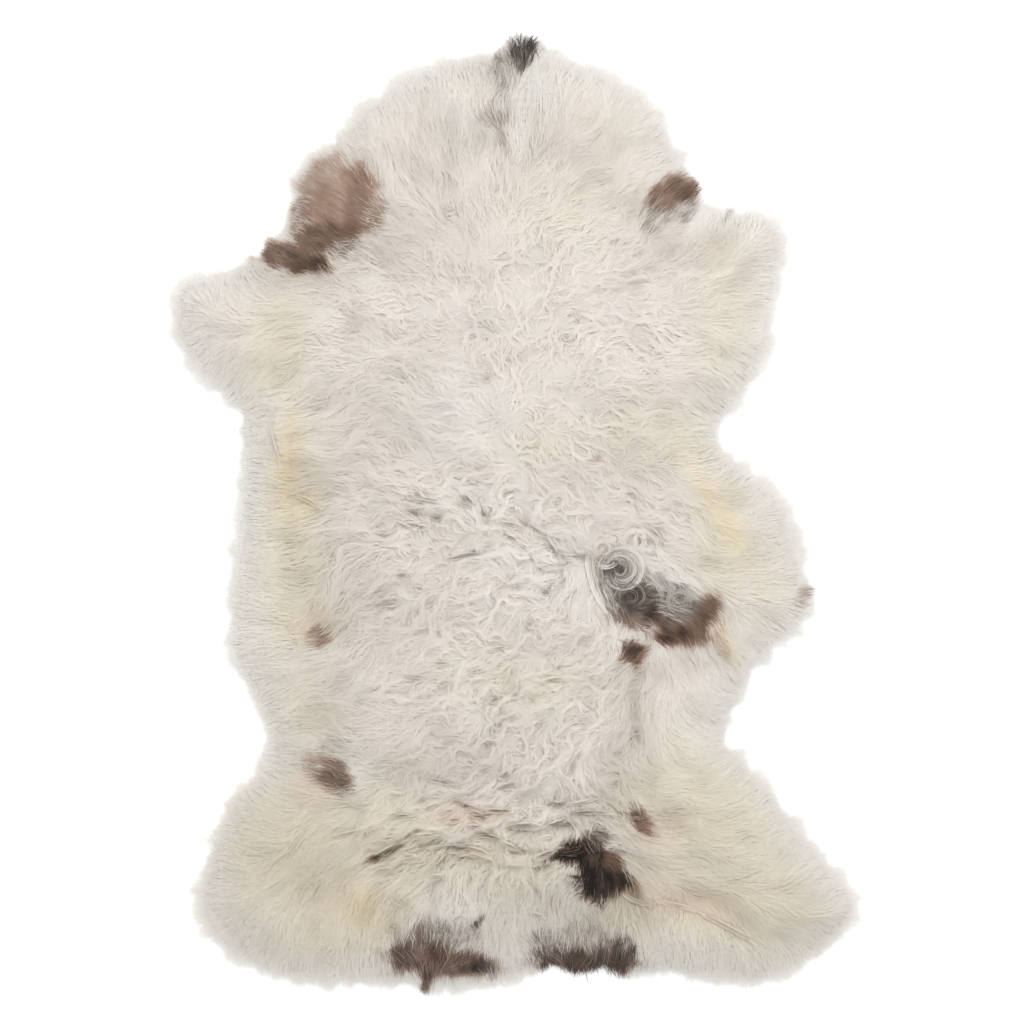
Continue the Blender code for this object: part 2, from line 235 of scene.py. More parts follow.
# Lips, where a lock ends over the wool below it: place, then x and y of its left end and of its right end,
# how far it arches, how far its shade reaches, darkness and warmth of the shade
lips = (
    ("rump ripple, left",
        (-131.5, -343, -114.5, -331, -0.8, 1.6, 0.8, 0.3),
        (-138.2, -340.2, -111.1, -325.7, 1.2, 2.4, 0.58, 0.6),
        (-106.5, -323.8, -78.5, -318.2, 2.6, 4.2, 0.38, 0.2),
        (-123.9, -302.6, -103, -300.4, 1.6, 3, 0.34, 0.2),
        (-58.1, -287.1, -40.7, -291.2, -0.8, 1.6, 0.58, 0.3),
        (-28, -295.5, -3, -296.3, 0.8, 3.6, 0.62, 0.95),
        (-44.3, -300.6, -30.5, -303.6, 0.8, 2.4, 0.58, 0.9),
        (-48.4, -309.8, -32.5, -310.6, -0.6, 2.6, 0.64, 0.85),
        (-66.7, -305, -53.5, -303.9, 0.6, 4.6, 0.5, 1), (-34.1, -321.6, -11.1, -324.9, 2.6, 3.6, 0.42, 0.2),
        (-14.2, -326.9, 5.2, -335.1, 1.6, 5, 0.34, 0.2),
        (-78.8, -350.2, -65.5, -335.3, -0.8, 4.2, 0.42, 0.2),
        (-66.5, -335.9, -47.4, -333.2, 1.6, 6, 0.18, 0.15),
        (-50.4, -333.5, -24.9, -341.7, 3, 5.6, 0.32, 0.75),
        (-89.2, -332.2, -61.4, -329.4, -0.8, 1.6, 0.28, 0.2),
        (-84.1, -359, -69.6, -361.1, 0.8, 1.6, 0.3, 0.2), (-89.2, -293, -74.7, -288.1, 0.6, 2, 0.34, 0.2),
        (-113.7, -335.3, -95.8, -332, 0.6, 3.4, 0.18, 0.2),
        (-111.6, -344.4, -96.8, -343.2, 0.6, 4, 0.18, 0.2),
        (-139.2, -355, -120.8, -352.4, 0.8, 3, 0.22, 0.2)),
    ("rump ripple, right",
        (-3.5, -311.1, 26.3, -309.3, 2.4, 7.4, 0.36, 0.15), (6.4, -292.7, 14.6, -302.9, 1, 3.2, 0.36, 0.2),
        (18.2, -293.2, 29.9, -291.7, 1, 2.6, 0.28, 0.2), (35.5, -286.6, 49, -291, 0.6, 1.5, 0.42, 0.2),
        (50.8, -290.2, 80.9, -284, 0.8, 1.7, 0.36, 0.2), (59, -297.9, 93.7, -297.3, 2.2, 3.4, 0.42, 0.2),
        (33.3, -310.4, 51, -303.6, 1, 5, 0.5, 0.2), (49.8, -302.9, 61.2, -315.5, 0.4, 1.3, 0.54, 0.7),
        (61, -312.6, 60.8, -331, 0.3, 1.1, 0.44, 0.3), (74.5, -322.8, 79.9, -306.1, 1, 2.6, 0.46, 0.2),
        (79.9, -306.1, 88.6, -311.8, 1, 3, 0.44, 0.2), (41.1, -333.6, 66.3, -328.1, -0.8, 6, 0.97, 0.5),
        (19.2, -342.4, 41.1, -334.6, 0.8, 6, 0.46, 0.35), (113.1, -300.9, 126.5, -302.9, -0.6, 3, 0.6, 0.8),
        (118.2, -283.5, 125.5, -301.4, 0.6, 3, 0.42, 0.4), (91.1, -333, 99.3, -334, 1, 2.6, 0.5, 0.2),
        (76.3, -317.9, 90.6, -322.8, 1.4, 5.5, 0.44, 0.15), (24.3, -323.8, 38.6, -319.2, 1, 3, 0.24, 0.2)),
    ("left back",
        (-101.6, 29.7, -83.2, 20.2, -2, 2, 0.24, 0.3), (-105.4, 15.1, -76.1, 10.8, -0.8, 2.2, 0.36, 0.3),
        (-105.4, 3.7, -88, 3.9, 0.6, 2.6, 0.3, 0.3), (-83.2, -2.2, -71.8, -4.4, -0.8, 3.6, 0.4, 0.3),
        (-119.5, -7.7, -97.8, -17.1, 0.3, 1.6, 0.36, 0.3), (-98.4, -16.3, -90, -11.7, 0.2, 1.4, 0.32, 0.3),
        (-94.6, -17.4, -83.7, -16.7, 0.3, 1.3, 0.26, 0.3)),
    ("middle back",
        (-50.1, 18.9, -39.8, 7, 1, 4.2, 0.36, 0.3), (-55.5, 14, -44.7, 6.4, -0.6, 2.4, 0.32, 0.3),
        (-33.3, 11.3, -26.2, -5.2, -1.4, 2, 0.42, 0.3), (-26.2, -5.2, -17, 7.5, -1.4, 1.5, 0.24, 0.3),
        (-16.5, 10.4, -12.1, 7.2, 0.2, 1.6, 0.28, 0.3), (-1.3, 7, 1.1, 1.3, 0.4, 1.6, 0.32, 0.7)),
    ("above the swirl",
        (-17, -8.4, 6.1, -11.9, 0.6, 1.7, 0.38, 0.3), (6.3, -5, 27.1, -17.3, -1.4, 1.6, 0.42, 0.5),
        (27.1, -17.3, 44.8, -45.6, 1.2, 1.4, 0.44, 0.4), (43.2, -40.8, 68, -42.5, -0.8, 1.4, 0.44, 0.3),
        (-9.4, -20.4, 2.8, -26.7, 0.5, 2.2, 0.36, 0.5), (5.2, -28.3, 14.8, -36.6, 0.4, 2, 0.34, 0.3),
        (14.4, -40.2, 22.4, -48.9, 0.3, 1.5, 0.36, 0.3)),
    ("left of the swirl",
        (22.6, -53.2, 32.6, -57.2, -0.5, 1.6, 0.36, 0.2), (32.3, -57.2, 51.3, -53.6, -0.8, 1.6, 0.3, 0.1)),
    ("middle back, low",
        (-66.9, -45.3, -50.1, -42.1, -0.4, 1.8, 0.42, 0.3),
        (-50.1, -41.6, -33.3, -40.1, 0.6, 1.6, 0.42, 0.3), (-87, -34.5, -79.2, -36.6, 0.4, 3, 0.28, 0.3),
        (-68.5, -31.9, -62.6, -34.5, 0.3, 1.4, 0.28, 0.3), (-98.9, -41.8, -92.9, -45.3, 0.3, 2, 0.32, 0.3),
        (-116.5, -39.5, -111, -42.7, 0.3, 1.6, 0.28, 0.3),
        (-76.1, -49.6, -66.1, -50.5, -0.4, 1.3, 0.26, 0.3)),
    ("left back, low",
        (-114.6, -59.4, -109.2, -61.1, 0.4, 2.6, 0.36, 0.8),
        (-105.6, -61.6, -101.9, -63.5, 0.3, 1.6, 0.28, 0.6),
        (-98.4, -73.8, -89.7, -75.7, 0.6, 4, 0.26, 0.3), (-57.1, -68.4, -41.2, -66.3, -0.4, 1.6, 0.3, 0.3)),
    ("left of the swirl, low",
        (29.3, -75.5, 35.4, -80.4, 0.3, 2.2, 0.46, 0.1), (37.2, -70.6, 35.6, -76.8, 0.2, 1.4, 0.38, 0.1),
        (-18.1, -75.7, -7.2, -66.6, 0.4, 1.3, 0.27, 0.3)),
    ("right thigh crease",
        (140, -384, 185.5, -398, 2, 3, 0.22, 0.9), (185.5, -398, 237.5, -427, 1.6, 4, 0.38, 0.6)),
    ("left flank", (-243, 88, -232, 48, -1.6, 3.6, 0.16, 1), (-216, 18, -193, 6, 1, 3.6, 0.32, 0.4)),
    ("above the hem", (-61, -403, -52, -399, 0.4, 2, 0.3, 0.2), (17, -396, 29, -400, 0.8, 2.6, 0.3, 0.2)),
)
# The broad shade and the dip below a lip, and the light and the rise above it: which side and how far, shade
# and depth beside the lip's darkness. Their half length is a share of the lip's length, and their offset and
# width are shares of how far its shade reaches
lipSides = ((1, 0.42, 0.0036), (-1.3, -0.34, -0.0020))
lipForm = {"halfLength": 0.55, "offset": 0.8, "width": 1.3}

# Broad folds and shaded places: place, x, y, half length, half width, depth, degrees, shade
folds = (
    ("left flank", -233, 20, 70, 6, 1.4, 86, -0.12),
    ("left back, low", -165, -95, 65, 45, 0, -30, 0.3),
    ("right flank", 202.5, 8, 50, 10, 1.2, -62, -0.2),
    ("right foreleg", 210.5, 233, 55, 18, 2, 80, 0.08),
    ("right groin", 120.5, -202, 24, 6, 3, 87, 0.32),
    ("below the dark patch", 205.5, -137, 15, 5, 2, -60, 0.3),
    ("right thigh", 215.5, -409, 46, 10, 4, -29, 0.08),
    ("rump", 70, -388, 75, 35, 1, 0, 0.42),
    ("above the swirl", 108, -30, 34, 10, 0, 0, 0.1),
    ("below the small spot", 134, -158, 26, 12, 0, 0, 0.26),
    ("below the low back", 110, -267, 18, 13, 0, 0, 0.26),
    ("left hind leg", -220, -350, 85, 75, 0, 0, 0.16),
    ("below the ripple, left", -70, -345, 45, 16, 0, 0, 0.24),
    ("left hem, pale", -160, -388, 40, 16, 0, -20, 0.18),
    ("right hind leg", 210, -350, 100, 70, 0, -15, 0.06),
    ("neck", 0, 400, 110, 60, 0, 0, 0.06),
    ("neck, top", -10, 443, 40, 18, 0, 0, 0.26),
    ("right groin, low", 100, -247, 40, 16, 0, 85, 0.3),
    ("left of the low back", -165, -203, 32, 20, 0, 0, 0.22),
    ("above the hem, middle", -10, -377, 40, 18, 0, 0, 0.22),
    ("right leg, tip", 290, -395, 30, 20, 0, -20, 0.2),
    ("nape", 0, 330, 150, 50, 0, 0, 0.04),
    ("left ribs", -120, 100, 90, 50, 0, 60, 0.18),
    ("right ribs", 115, 60, 50, 40, 0, 0, 0.16),
    ("right foreleg, pale", 215, 235, 80, 45, 0, 90, -0.18),
    ("left rim, pale", -262, 30, 110, 22, 0, 90, -0.3),
    ("left rim, pale, low", -252, -165, 60, 24, 0, 90, -0.3),
    ("right ribs, pale", 185, 105, 45, 30, 0, 0, -0.18),
    ("left foreleg, pale", -300, 150, 35, 30, 0, 0, -0.25),
    ("right thigh, pale", 185, -388, 26, 18, 0, -20, -0.1),
    ("right flank, pale", 250, -125, 30, 25, 0, 0, -0.35),
    ("left shoulder, top", -232, 240, 35, 16, 0, 0, 0.4),
    ("nape, left", -80, 266, 55, 30, 0, 10, 0.16),
    ("right of the left cheek", -118, 275, 18, 38, 0, 20, 0.08),
    ("right foreleg, top", 198, 268, 26, 16, 0, 20, 0.4),
    ("rump, left, upper", -85, -248, 85, 30, 0, 0, 0.32),
    ("above the rump patch", 85, -302, 34, 22, 0, 0, 0.4),
    ("right groin, below the spot", 118, -180, 16, 30, 0, 0, 0.26),
    ("right of the rump patch", 120, -385, 16, 24, 0, 0, 0.34),
    ("right groin, pale", 170, -200, 50, 40, 0, 0, -0.14),
    ("left hem, dark", -115, -402, 40, 22, 0, -10, 0.08),
    ("neck, left", -64.5, 353, 33, 8, 2, 87, 0.3),
    ("neck, far left", -94.5, 373, 40, 6, 1.5, 84, 0.16),
    ("beside the left cheek", -150, 258, 45, 24, 0, 20, 0.26),
    ("left shoulder", -161, 186, 22, 8, 2, 70, 0.22),
)
softEdge = 0.9  # how softly folds, lips and tints run out


def rowsOf(table, lengths):
    # a table's rows, with their first numbers, which are lengths, turned from millimetres to metres
    for place, *rest in table:
        for row in rest if isinstance(rest[0], tuple) else [rest]:
            yield (place, *(round(length / 1000, 6) for length in row[:lengths]), *row[lengths:])


def smoothed(values, width):
    # a Gaussian blur of the net, its width in metres
    reach = int(3 * width / lay["pitch"]) + 1
    bell = np.exp(-0.5 * (np.arange(-reach, reach + 1) * lay["pitch"] / width) ** 2)
    bell /= bell.sum()
    padded = np.pad(values, reach, mode="edge")
    rows = np.apply_along_axis(np.convolve, 1, padded, bell, "valid")
    return np.apply_along_axis(np.convolve, 0, rows, bell, "valid")


def cloudy(size, seed):
    # soft random noise on the net, with features of this size and a spread of 1
    field = smoothed(np.random.default_rng(seed).standard_normal(gridX.shape), size)
    return ((field - field.mean()) / field.std()).clip(-2.5, 2.5)


def look(values, x, y):
    # reads the net at any place
    u = ((x - netX[0]) / lay["pitch"]).clip(0, len(netX) - 1.001)
    v = ((y - netY[0]) / lay["pitch"]).clip(0, len(netY) - 1.001)
    i, j = u.astype(int), v.astype(int)
    fu, fv = u - i, v - j
    near = values[j, i] * (1 - fu) + values[j, i + 1] * fu
    far = values[j + 1, i] * (1 - fu) + values[j + 1, i + 1] * fu
    return near * (1 - fv) + far * fv


def ease(x, start, end):
    t = ((x - start) / (end - start)).clip(0, 1)
    return t * t * (3 - 2 * t)


def around(x, y, reach):
    # 1 at a place, and falling softly to 0 about it
    return np.exp(-((gridX - x) ** 2 + (gridY - y) ** 2) / (2 * reach**2))


def readSolid():
    # the height of the solid's top at each point of the net
    tree = BVHTree.FromObject(solid, bpy.context.evaluated_depsgraph_get())
    height = np.zeros(gridX.shape)
    for j, y in enumerate(netY):
        for i, x in enumerate(netX):
            hit = tree.ray_cast((x, y, lay["castHeight"]), (0, 0, -1))[0]
            if hit is not None:
                height[j, i] = hit.z
    return height


def distanceIn(inside):
    # how far each point lies inside the edge, and below zero outside it
    beside = [np.roll(inside, step, axis) for axis in (0, 1) for step in (1, -1)]
    rows, columns = np.nonzero(inside & ~np.logical_and.reduce(beside))
    tree = KDTree(len(rows))
    for k, (j, i) in enumerate(zip(rows, columns)):
        tree.insert((netX[i], netY[j], 0), k)
    tree.balance()
    away = np.array([tree.find((x, y, 0))[2] for x, y in zip(gridX.ravel(), gridY.ravel())])
    return away.reshape(gridX.shape) * np.where(inside, 1, -1)


def gust(size, seed):
    # soft noise whose features are about as far apart as they are wide
    field = cloudy(size, seed) - cloudy(2 * size, seed + 500)
    return (field / field.std()).clip(-2.2, 2.2)


def inMark(x, y, markX, markY, halfLength, halfWidth, degrees):
    # how far out a place lies in a mark: 0 at its middle and 1 at its edge
    turn = math.radians(degrees)
    awayX, awayY = x - markX, y - markY
    along = (awayX * math.cos(turn) + awayY * math.sin(turn)) / halfLength
    across = (awayY * math.cos(turn) - awayX * math.sin(turn)) / halfWidth
    return np.hypot(along, across)


def curled():
    # how far the wool bends, how long a bend is and how much its strands stand out, at each place
    total = np.full(gridX.shape, straight["weight"])
    bend, bendLength, relief = (total * straight[key] for key in ("bend", "bendLength", "relief"))
    for place, x, y, reach, lengthHere, bendHere, reliefHere in rowsOf(curling, 4):
        near = around(x, y, reach)
        bend = bend + near * bendHere
        bendLength = bendLength + near * lengthHere
        relief = relief + near * reliefHere
        total = total + near
    inner = ease(inward, curlFrom, curlFull)
    mixed = []
    for field, key in ((bend, "bend"), (bendLength, "bendLength"), (relief, "relief")):
        mixed.append(straight[key] + (field / total - straight[key]) * inner)
    return mixed


def combed():
    # the way of the wool at each place, as a unit vector, with its bends and whorls
    pushX, pushY, weight = np.zeros(gridX.shape), np.zeros(gridX.shape), np.full(gridX.shape, 1e-6)
    for place, x, y, reach, degrees in rowsOf(combing, 3):
        near = around(x, y, reach)
        pushX += near * math.cos(math.radians(degrees))
        pushY += near * math.sin(math.radians(degrees))
        weight += near
    pull = lay["rimPull"] * np.exp(-inward.clip(-0.02, 1) / lay["rimReach"])
    pushX = smoothed(pushX / weight + pull * outX, lay["combBlur"])
    pushY = smoothed(pushY / weight + pull * outY, lay["combBlur"])
    curly = ease(bendAt, straight["bend"], 0.8)
    for push, seed in ((pushX, 11), (pushY, 12)):
        push += lay["unruly"] * curly * cloudy(lay["unrulySize"], seed)
        push += lay["clumpStray"] * (1 - curly) * cloudy(1.7 * lay["clump"], seed + 15)
    for place, x, y, reach, outward, clockwise in rowsOf(whorls, 3):
        awayX, awayY = (gridX - x) / reach, (gridY - y) / reach
        near = np.exp(-(awayX**2 + awayY**2)) / np.hypot(awayX, awayY).clip(0.15, 9)
        pushX += near * (outward * awayX + clockwise * awayY)
        pushY += near * (outward * awayY - clockwise * awayX)
    fine = ((broadBend - bendLengthAt) / (broadBend - fineBend)).clip(0, 1)
    bend = fine * gust(fineBend / bendPerSize, 13) + (1 - fine) * gust(broadBend / bendPerSize, 15)
    way = np.arctan2(pushY, pushX) + bendAt * bend
    return np.cos(way), np.sin(way)


def drawnOut(grain, reach):
    # noise drawn out along the combing, as strands are
    steps = int(reach / lay["pitch"])
    total = grain.copy()
    for sense in (-1, 1):
        x, y = gridX.copy(), gridY.copy()
        for _ in range(steps):
            x += sense * lay["pitch"] * look(combX, x, y)
            y += sense * lay["pitch"] * look(combY, x, y)
            total += look(grain, x, y)
    return (total / total.std()).clip(-2.2, 2.2)


def creased():
    # how deep the wool is open at each place
    depth = np.zeros(gridX.shape)
    for place, x, y, halfLength, halfWidth, deep, degrees in rowsOf(creases, 5):
        turn = math.radians(degrees)
        above = (gridY - y) * math.cos(turn) - (gridX - x) * math.sin(turn) > 0
        long = halfLength * creaseForm["length"]
        for here, wide in ((above, creaseForm["above"]), (~above, creaseForm["below"])):
            out = inMark(gridX[here], gridY[here], x, y, long, halfWidth * wide, degrees)
            deepHere = creaseForm["depth"] * deep * np.exp(-creaseForm["fall"] * out**2)
            depth[here] = np.maximum(depth[here], deepHere)
    return depth


def folded():
    # how deep the broad folds are at each place, with the dips and rises beside the lips, and their painted
    # shade, with painted light above the lips
    depth, shade = np.zeros(gridX.shape), np.zeros(gridX.shape)
    for place, x, y, halfLength, halfWidth, deep, degrees, dark in rowsOf(folds, 5):
        near = np.exp(-softEdge * inMark(gridX, gridY, x, y, halfLength, halfWidth, degrees) ** 2)
        depth = np.maximum(depth, deep * near)
        shade = shade + dark * near
    for place, x, y, endX, endY, arch, drop, dark, warm in rowsOf(lips, 6):
        degrees = math.degrees(math.atan2(endY - y, endX - x))
        halfLength = lipForm["halfLength"] * math.hypot(endX - x, endY - y)
        awayX, awayY = drop * math.sin(math.radians(degrees)), -drop * math.cos(math.radians(degrees))
        for side, shadeHere, dipHere in lipSides:
            offset = lipForm["offset"] * side
            middle = ((x + endX) / 2 + offset * awayX, (y + endY) / 2 + offset * awayY)
            out = inMark(gridX, gridY, *middle, halfLength, lipForm["width"] * drop, degrees)
            near = np.exp(-softEdge * out**2)
            depth = depth + dipHere * dark * near
            shade = shade + shadeHere * dark * near
    return depth, shade


rawTop = readSolid()
nearLocks = distanceIn(rawTop > lay["woolFrom"]) > -lay["lockGap"]
inward = smoothed(distanceIn(nearLocks) - lay["lockGap"], lay["edgeBlur"])
slopeY, slopeX = np.gradient(smoothed(inward, lay["slopeBlur"]), lay["pitch"])
slope = np.hypot(slopeX, slopeY) + 1e-9
outX, outY = -slopeX / slope, -slopeY / slope
bendAt, bendLengthAt, reliefAt = curled()
curlyAt = ease(bendAt, 0.22, 0.50)
combX, combY = combed()
strands = drawnOut(cloudy(lay["streak"], 17), lay["streakReach"])
clumps = drawnOut(cloudy(lay["clump"], 19), lay["clumpReach"])
clumps = clumps * (1 - 0.8 * curlyAt) * ease(inward, 0.002, 0.025)
creaseAt = creased()
foldAt, shadeAt = folded()
# Painted shade between the clumps of the straight wool and between the raised strands where the relief is
# high; the straight wool is also darker overall
shadeAt += lay["plainShade"] * (1 - curlyAt) + lay["clumpShade"] * ease(-clumps, 0.1, 2.0)
streakShadeAt = (ease(-strands, 0.9, 2.2) * ease(reliefAt, 0.3, 1.0)).clip(0, 1) * lay["streakOpen"]
topHeight = smoothed(rawTop, lay["topBlur"]) - foldAt
topHeight += lay["streakHeight"] * reliefAt * strands * ease(inward, 0.01, 0.04) - creaseAt
waves = lay["waveHeight"] * cloudy(lay["waveSize"], 18) * ease(inward, 0.0, 0.02)
topHeight += waves + lay["clumpHeight"] * clumps
pileTop = smoothed(topHeight, lay["facingBlur"])
print("read the lay of the wool")


# Dark marks, each painted over those before it: place, x, y, half length, half width, degrees, darkness,
# warmth, share of the wisps that take it
darkMarks = (
    ("neck tuft, left streaks", -14, 446, 22, 13, 85, 0.38, 0.05, 0.56),
    ("neck tuft", 6, 468, 21, 11, 95, 0.86, 0.1, 0.88),
    ("neck tuft, right lobe", 20, 472, 13, 8, 100, 0.88, 0.1, 0.95),
    ("neck tuft, foot", 3.5, 447, 11, 6, 90, 0.72, 0.05, 0.6),
    ("neck streak", -10, 418, 26, 9, 85, 0.34, 0.1, 0.36),
    ("neck smudge", -20, 392, 16, 11, -40, 0.38, 0.25, 0.58),
    ("neck smudge, tail", -13, 370, 22, 5.5, 112, 0.36, 0.2, 0.5),
    ("left cheek, pale", -177, 311, 44, 40, 60, 0.38, 1, 0.9),
    ("left cheek, pale top", -195, 340, 22, 14, 30, 0.32, 1, 0.85),
    ("left cheek, right side", -156, 306, 32, 13, 82, 0.54, 0.92, 0.85),
    ("left cheek, right edge", -140, 292, 18, 10, 66, 0.48, 0.7, 0.62),
    ("left cheek, left side", -218, 300, 20, 7, 70, 0.46, 0.8, 0.6),
    ("left cheek, low", -188, 275.5, 32, 14.5, 12, 0.67, 0.92, 0.98),
    ("left cheek, tail", -168, 264, 20, 6.5, 20, 0.58, 0.5, 0.52),
    ("left cheek, band", -231, 257.5, 42, 13.5, 165, 0.62, 1, 0.96),
    ("left cheek, darkest", -208, 249, 23.5, 11.5, 162, 0.79, 0.7, 0.93),
    ("right cheek, tail", 143, 292, 26, 12, 52, 0.38, 0.15, 0.48),
    ("right cheek, below", 166, 300, 18, 10, 25, 0.42, 0.2, 0.5),
    ("right cheek", 159, 320.5, 26, 17, 35, 0.6, 0.92, 0.94),
    ("right cheek, left side", 144, 312, 15, 11, 50, 0.58, 0.98, 0.82),
    ("right cheek, edge", 172.6, 321, 11, 10, 0, 0.72, 0.85, 0.92),
    ("dark patch, lower rim", 119.5, -103.5, 24.5, 12.5, -21, 0.54, 0.62, 0.82),
    ("dark patch, grey curls", 164, -92, 38, 18, -24, 0.42, 0.08, 0.7),
    ("dark patch, beside the swirl", 142, -68, 20, 9, -42, 0.36, 0.08, 0.5),
    ("dark patch, low", 168, -120.5, 31, 12.8, 2, 0.66, 0.85, 0.92),
    ("dark patch, brown side", 192.5, -103, 13.5, 22.5, -12, 0.7, 0.92, 0.94),
    ("dark patch, right fringe", 204.5, -107, 8, 17, 0, 0.34, 1, 0.5),
    ("dark patch, tail", 204, -130, 22, 6, -64, 0.28, 1, 0.5),
    ("dark patch, darkest", 159, -124, 16, 7, 5, 0.84, 0.9, 0.92),
    ("dark patch, middle", 142, -106, 18, 9, -35, 0.78, 0.55, 0.85),
    ("dark patch, crease", 135.5, -96, 10, 5, 55, 0.92, 0.4, 0.95),
    ("dark patch, under the swirl", 118, -83, 20, 17, -15, 0.72, 0.12, 0.92),
    ("dark patch, core", 114, -84, 10, 8, -30, 0.86, 0.15, 0.95),
    # The swirl's two shades are partly painted shade, in the gaps between its rings and beside its falls, and
    # partly the dark wool under it
    ("swirl, shade under its rings", 108, -58, 23, 17, -10, 0.46, 0.05, 0.62),
    ("swirl, core", 102, -55.5, 9.5, 6, -20, 0.66, 0, 0.9),
    ("swirl, shade of the falls", 92, -78, 22, 6, -68, 0.5, 0.1, 0.6),
    ("small spot", 119.5, -140.5, 13.5, 14, 0, 0.71, 0.9, 0.88),
    ("small spot, top", 117.5, -133, 7, 7, 30, 0.86, 0.55, 0.9),
    ("right flank tuft", 292, -83, 14, 8, 62, 0.38, 0.6, 0.5),
    ("left flank spot", -193, -123, 13, 11, 0, 0.46, 0.75, 0.7),
    ("left low spot", -188, -253, 27, 17, -30, 0.34, 0.7, 0.62),
    ("left low spot, dark side", -178, -263, 17, 16, -20, 0.59, 0.6, 0.74),
    ("rump, left crease", -139.5, -343, 7.5, 4.5, 20, 0.5, 0.85, 0.75),
    ("rump, left fleck", -30, -297, 26, 5, -8, 0.34, 0.95, 0.26),
    ("rump, middle fleck", -43, -339, 9, 3.5, -4, 0.36, 0.9, 0.4),
    ("rump patch, left shade", 38, -341, 12, 6, 20, 0.46, 0.4, 0.5),
    ("rump patch, right fuzz", 118, -374, 13, 10, -30, 0.38, 0.9, 0.62),
    ("rump patch, left curls", 54, -361, 14, 7, 10, 0.4, 0.3, 0.28),
    ("rump patch, toe", 71, -377.5, 10, 5.5, 25, 0.76, 0.4, 0.58),
    ("rump patch, upper", 78.5, -343.2, 28, 16, -30, 0.95, 0.6, 1),
    ("rump patch, lower", 88.5, -367.2, 24.5, 19.5, 10, 1, 0.42, 1),
    ("rump patch, arm", 55, -340.5, 15.5, 6.5, 8, 1, 0.4, 1),
    ("rump patch, brown middle", 97.5, -350, 10, 9, -20, 0.68, 0.98, 0.92),
    ("rump patch, grey top", 86, -322, 13, 8, 0, 0.48, 0.15, 0.7),
    ("rump, right streak", 125, -306, 18, 8.5, -45, 0.62, 0.85, 0.84),
    ("hem, left, grey above", -72, -422, 45, 21, -10, 0.43, 0.15, 0.48),
    ("hem, left, streak", -37, -407, 11, 4, 40, 0.62, 0.25, 0.8),
    ("hem, left, upper lobe", -93, -431, 25, 17, 0, 0.72, 0.4, 0.7),
    ("hem, left, spike", -88, -470, 16, 7, 80, 0.72, 0.6, 0.9),
    ("hem, left", -73, -449, 54, 15, -6, 0.72, 0.84, 0.94),
    ("hem, left, left end", -109, -449, 16, 13, 0, 0.78, 0.7, 0.92),
    ("hem, left, right end", -37, -453, 18, 8, 10, 0.9, 0.45, 0.95),
    ("hem, right, grey above", 62, -425, 47, 18, 0, 0.48, 0.15, 0.44),
    ("hem, right, left lobe", 34, -435, 13, 19, 15, 0.64, 0.25, 0.5),
    ("hem, right, right lobe", 105, -441, 17, 18, 0, 0.78, 0.35, 0.74),
    ("hem, right", 71, -452.5, 52, 16, 0, 0.86, 0.66, 0.96),
    ("ribs fleck", 82, 52, 6, 4, 0, 0.26, 1, 0.8),
    ("foreleg hairs", 216, 300, 10, 3, 55, 0.4, 0.1, 0.5),
)
# How far the marks' edges wander and how softly they run out, and how unevenly the dark wool is mixed with
# the white there and is dark itself
ragged = {
    "size": 0.0040,
    "amount": 0.0020,
    "full": 0.45,        # a mark is full to this share of its half length and width
    "end": 1.50,         # and ends at this one
    "mixSize": 0.0026,
    "mix": 0.07,
    "shadeSize": 0.0040,
    "shade": 0.05,
    "streaks": 0.06,
}

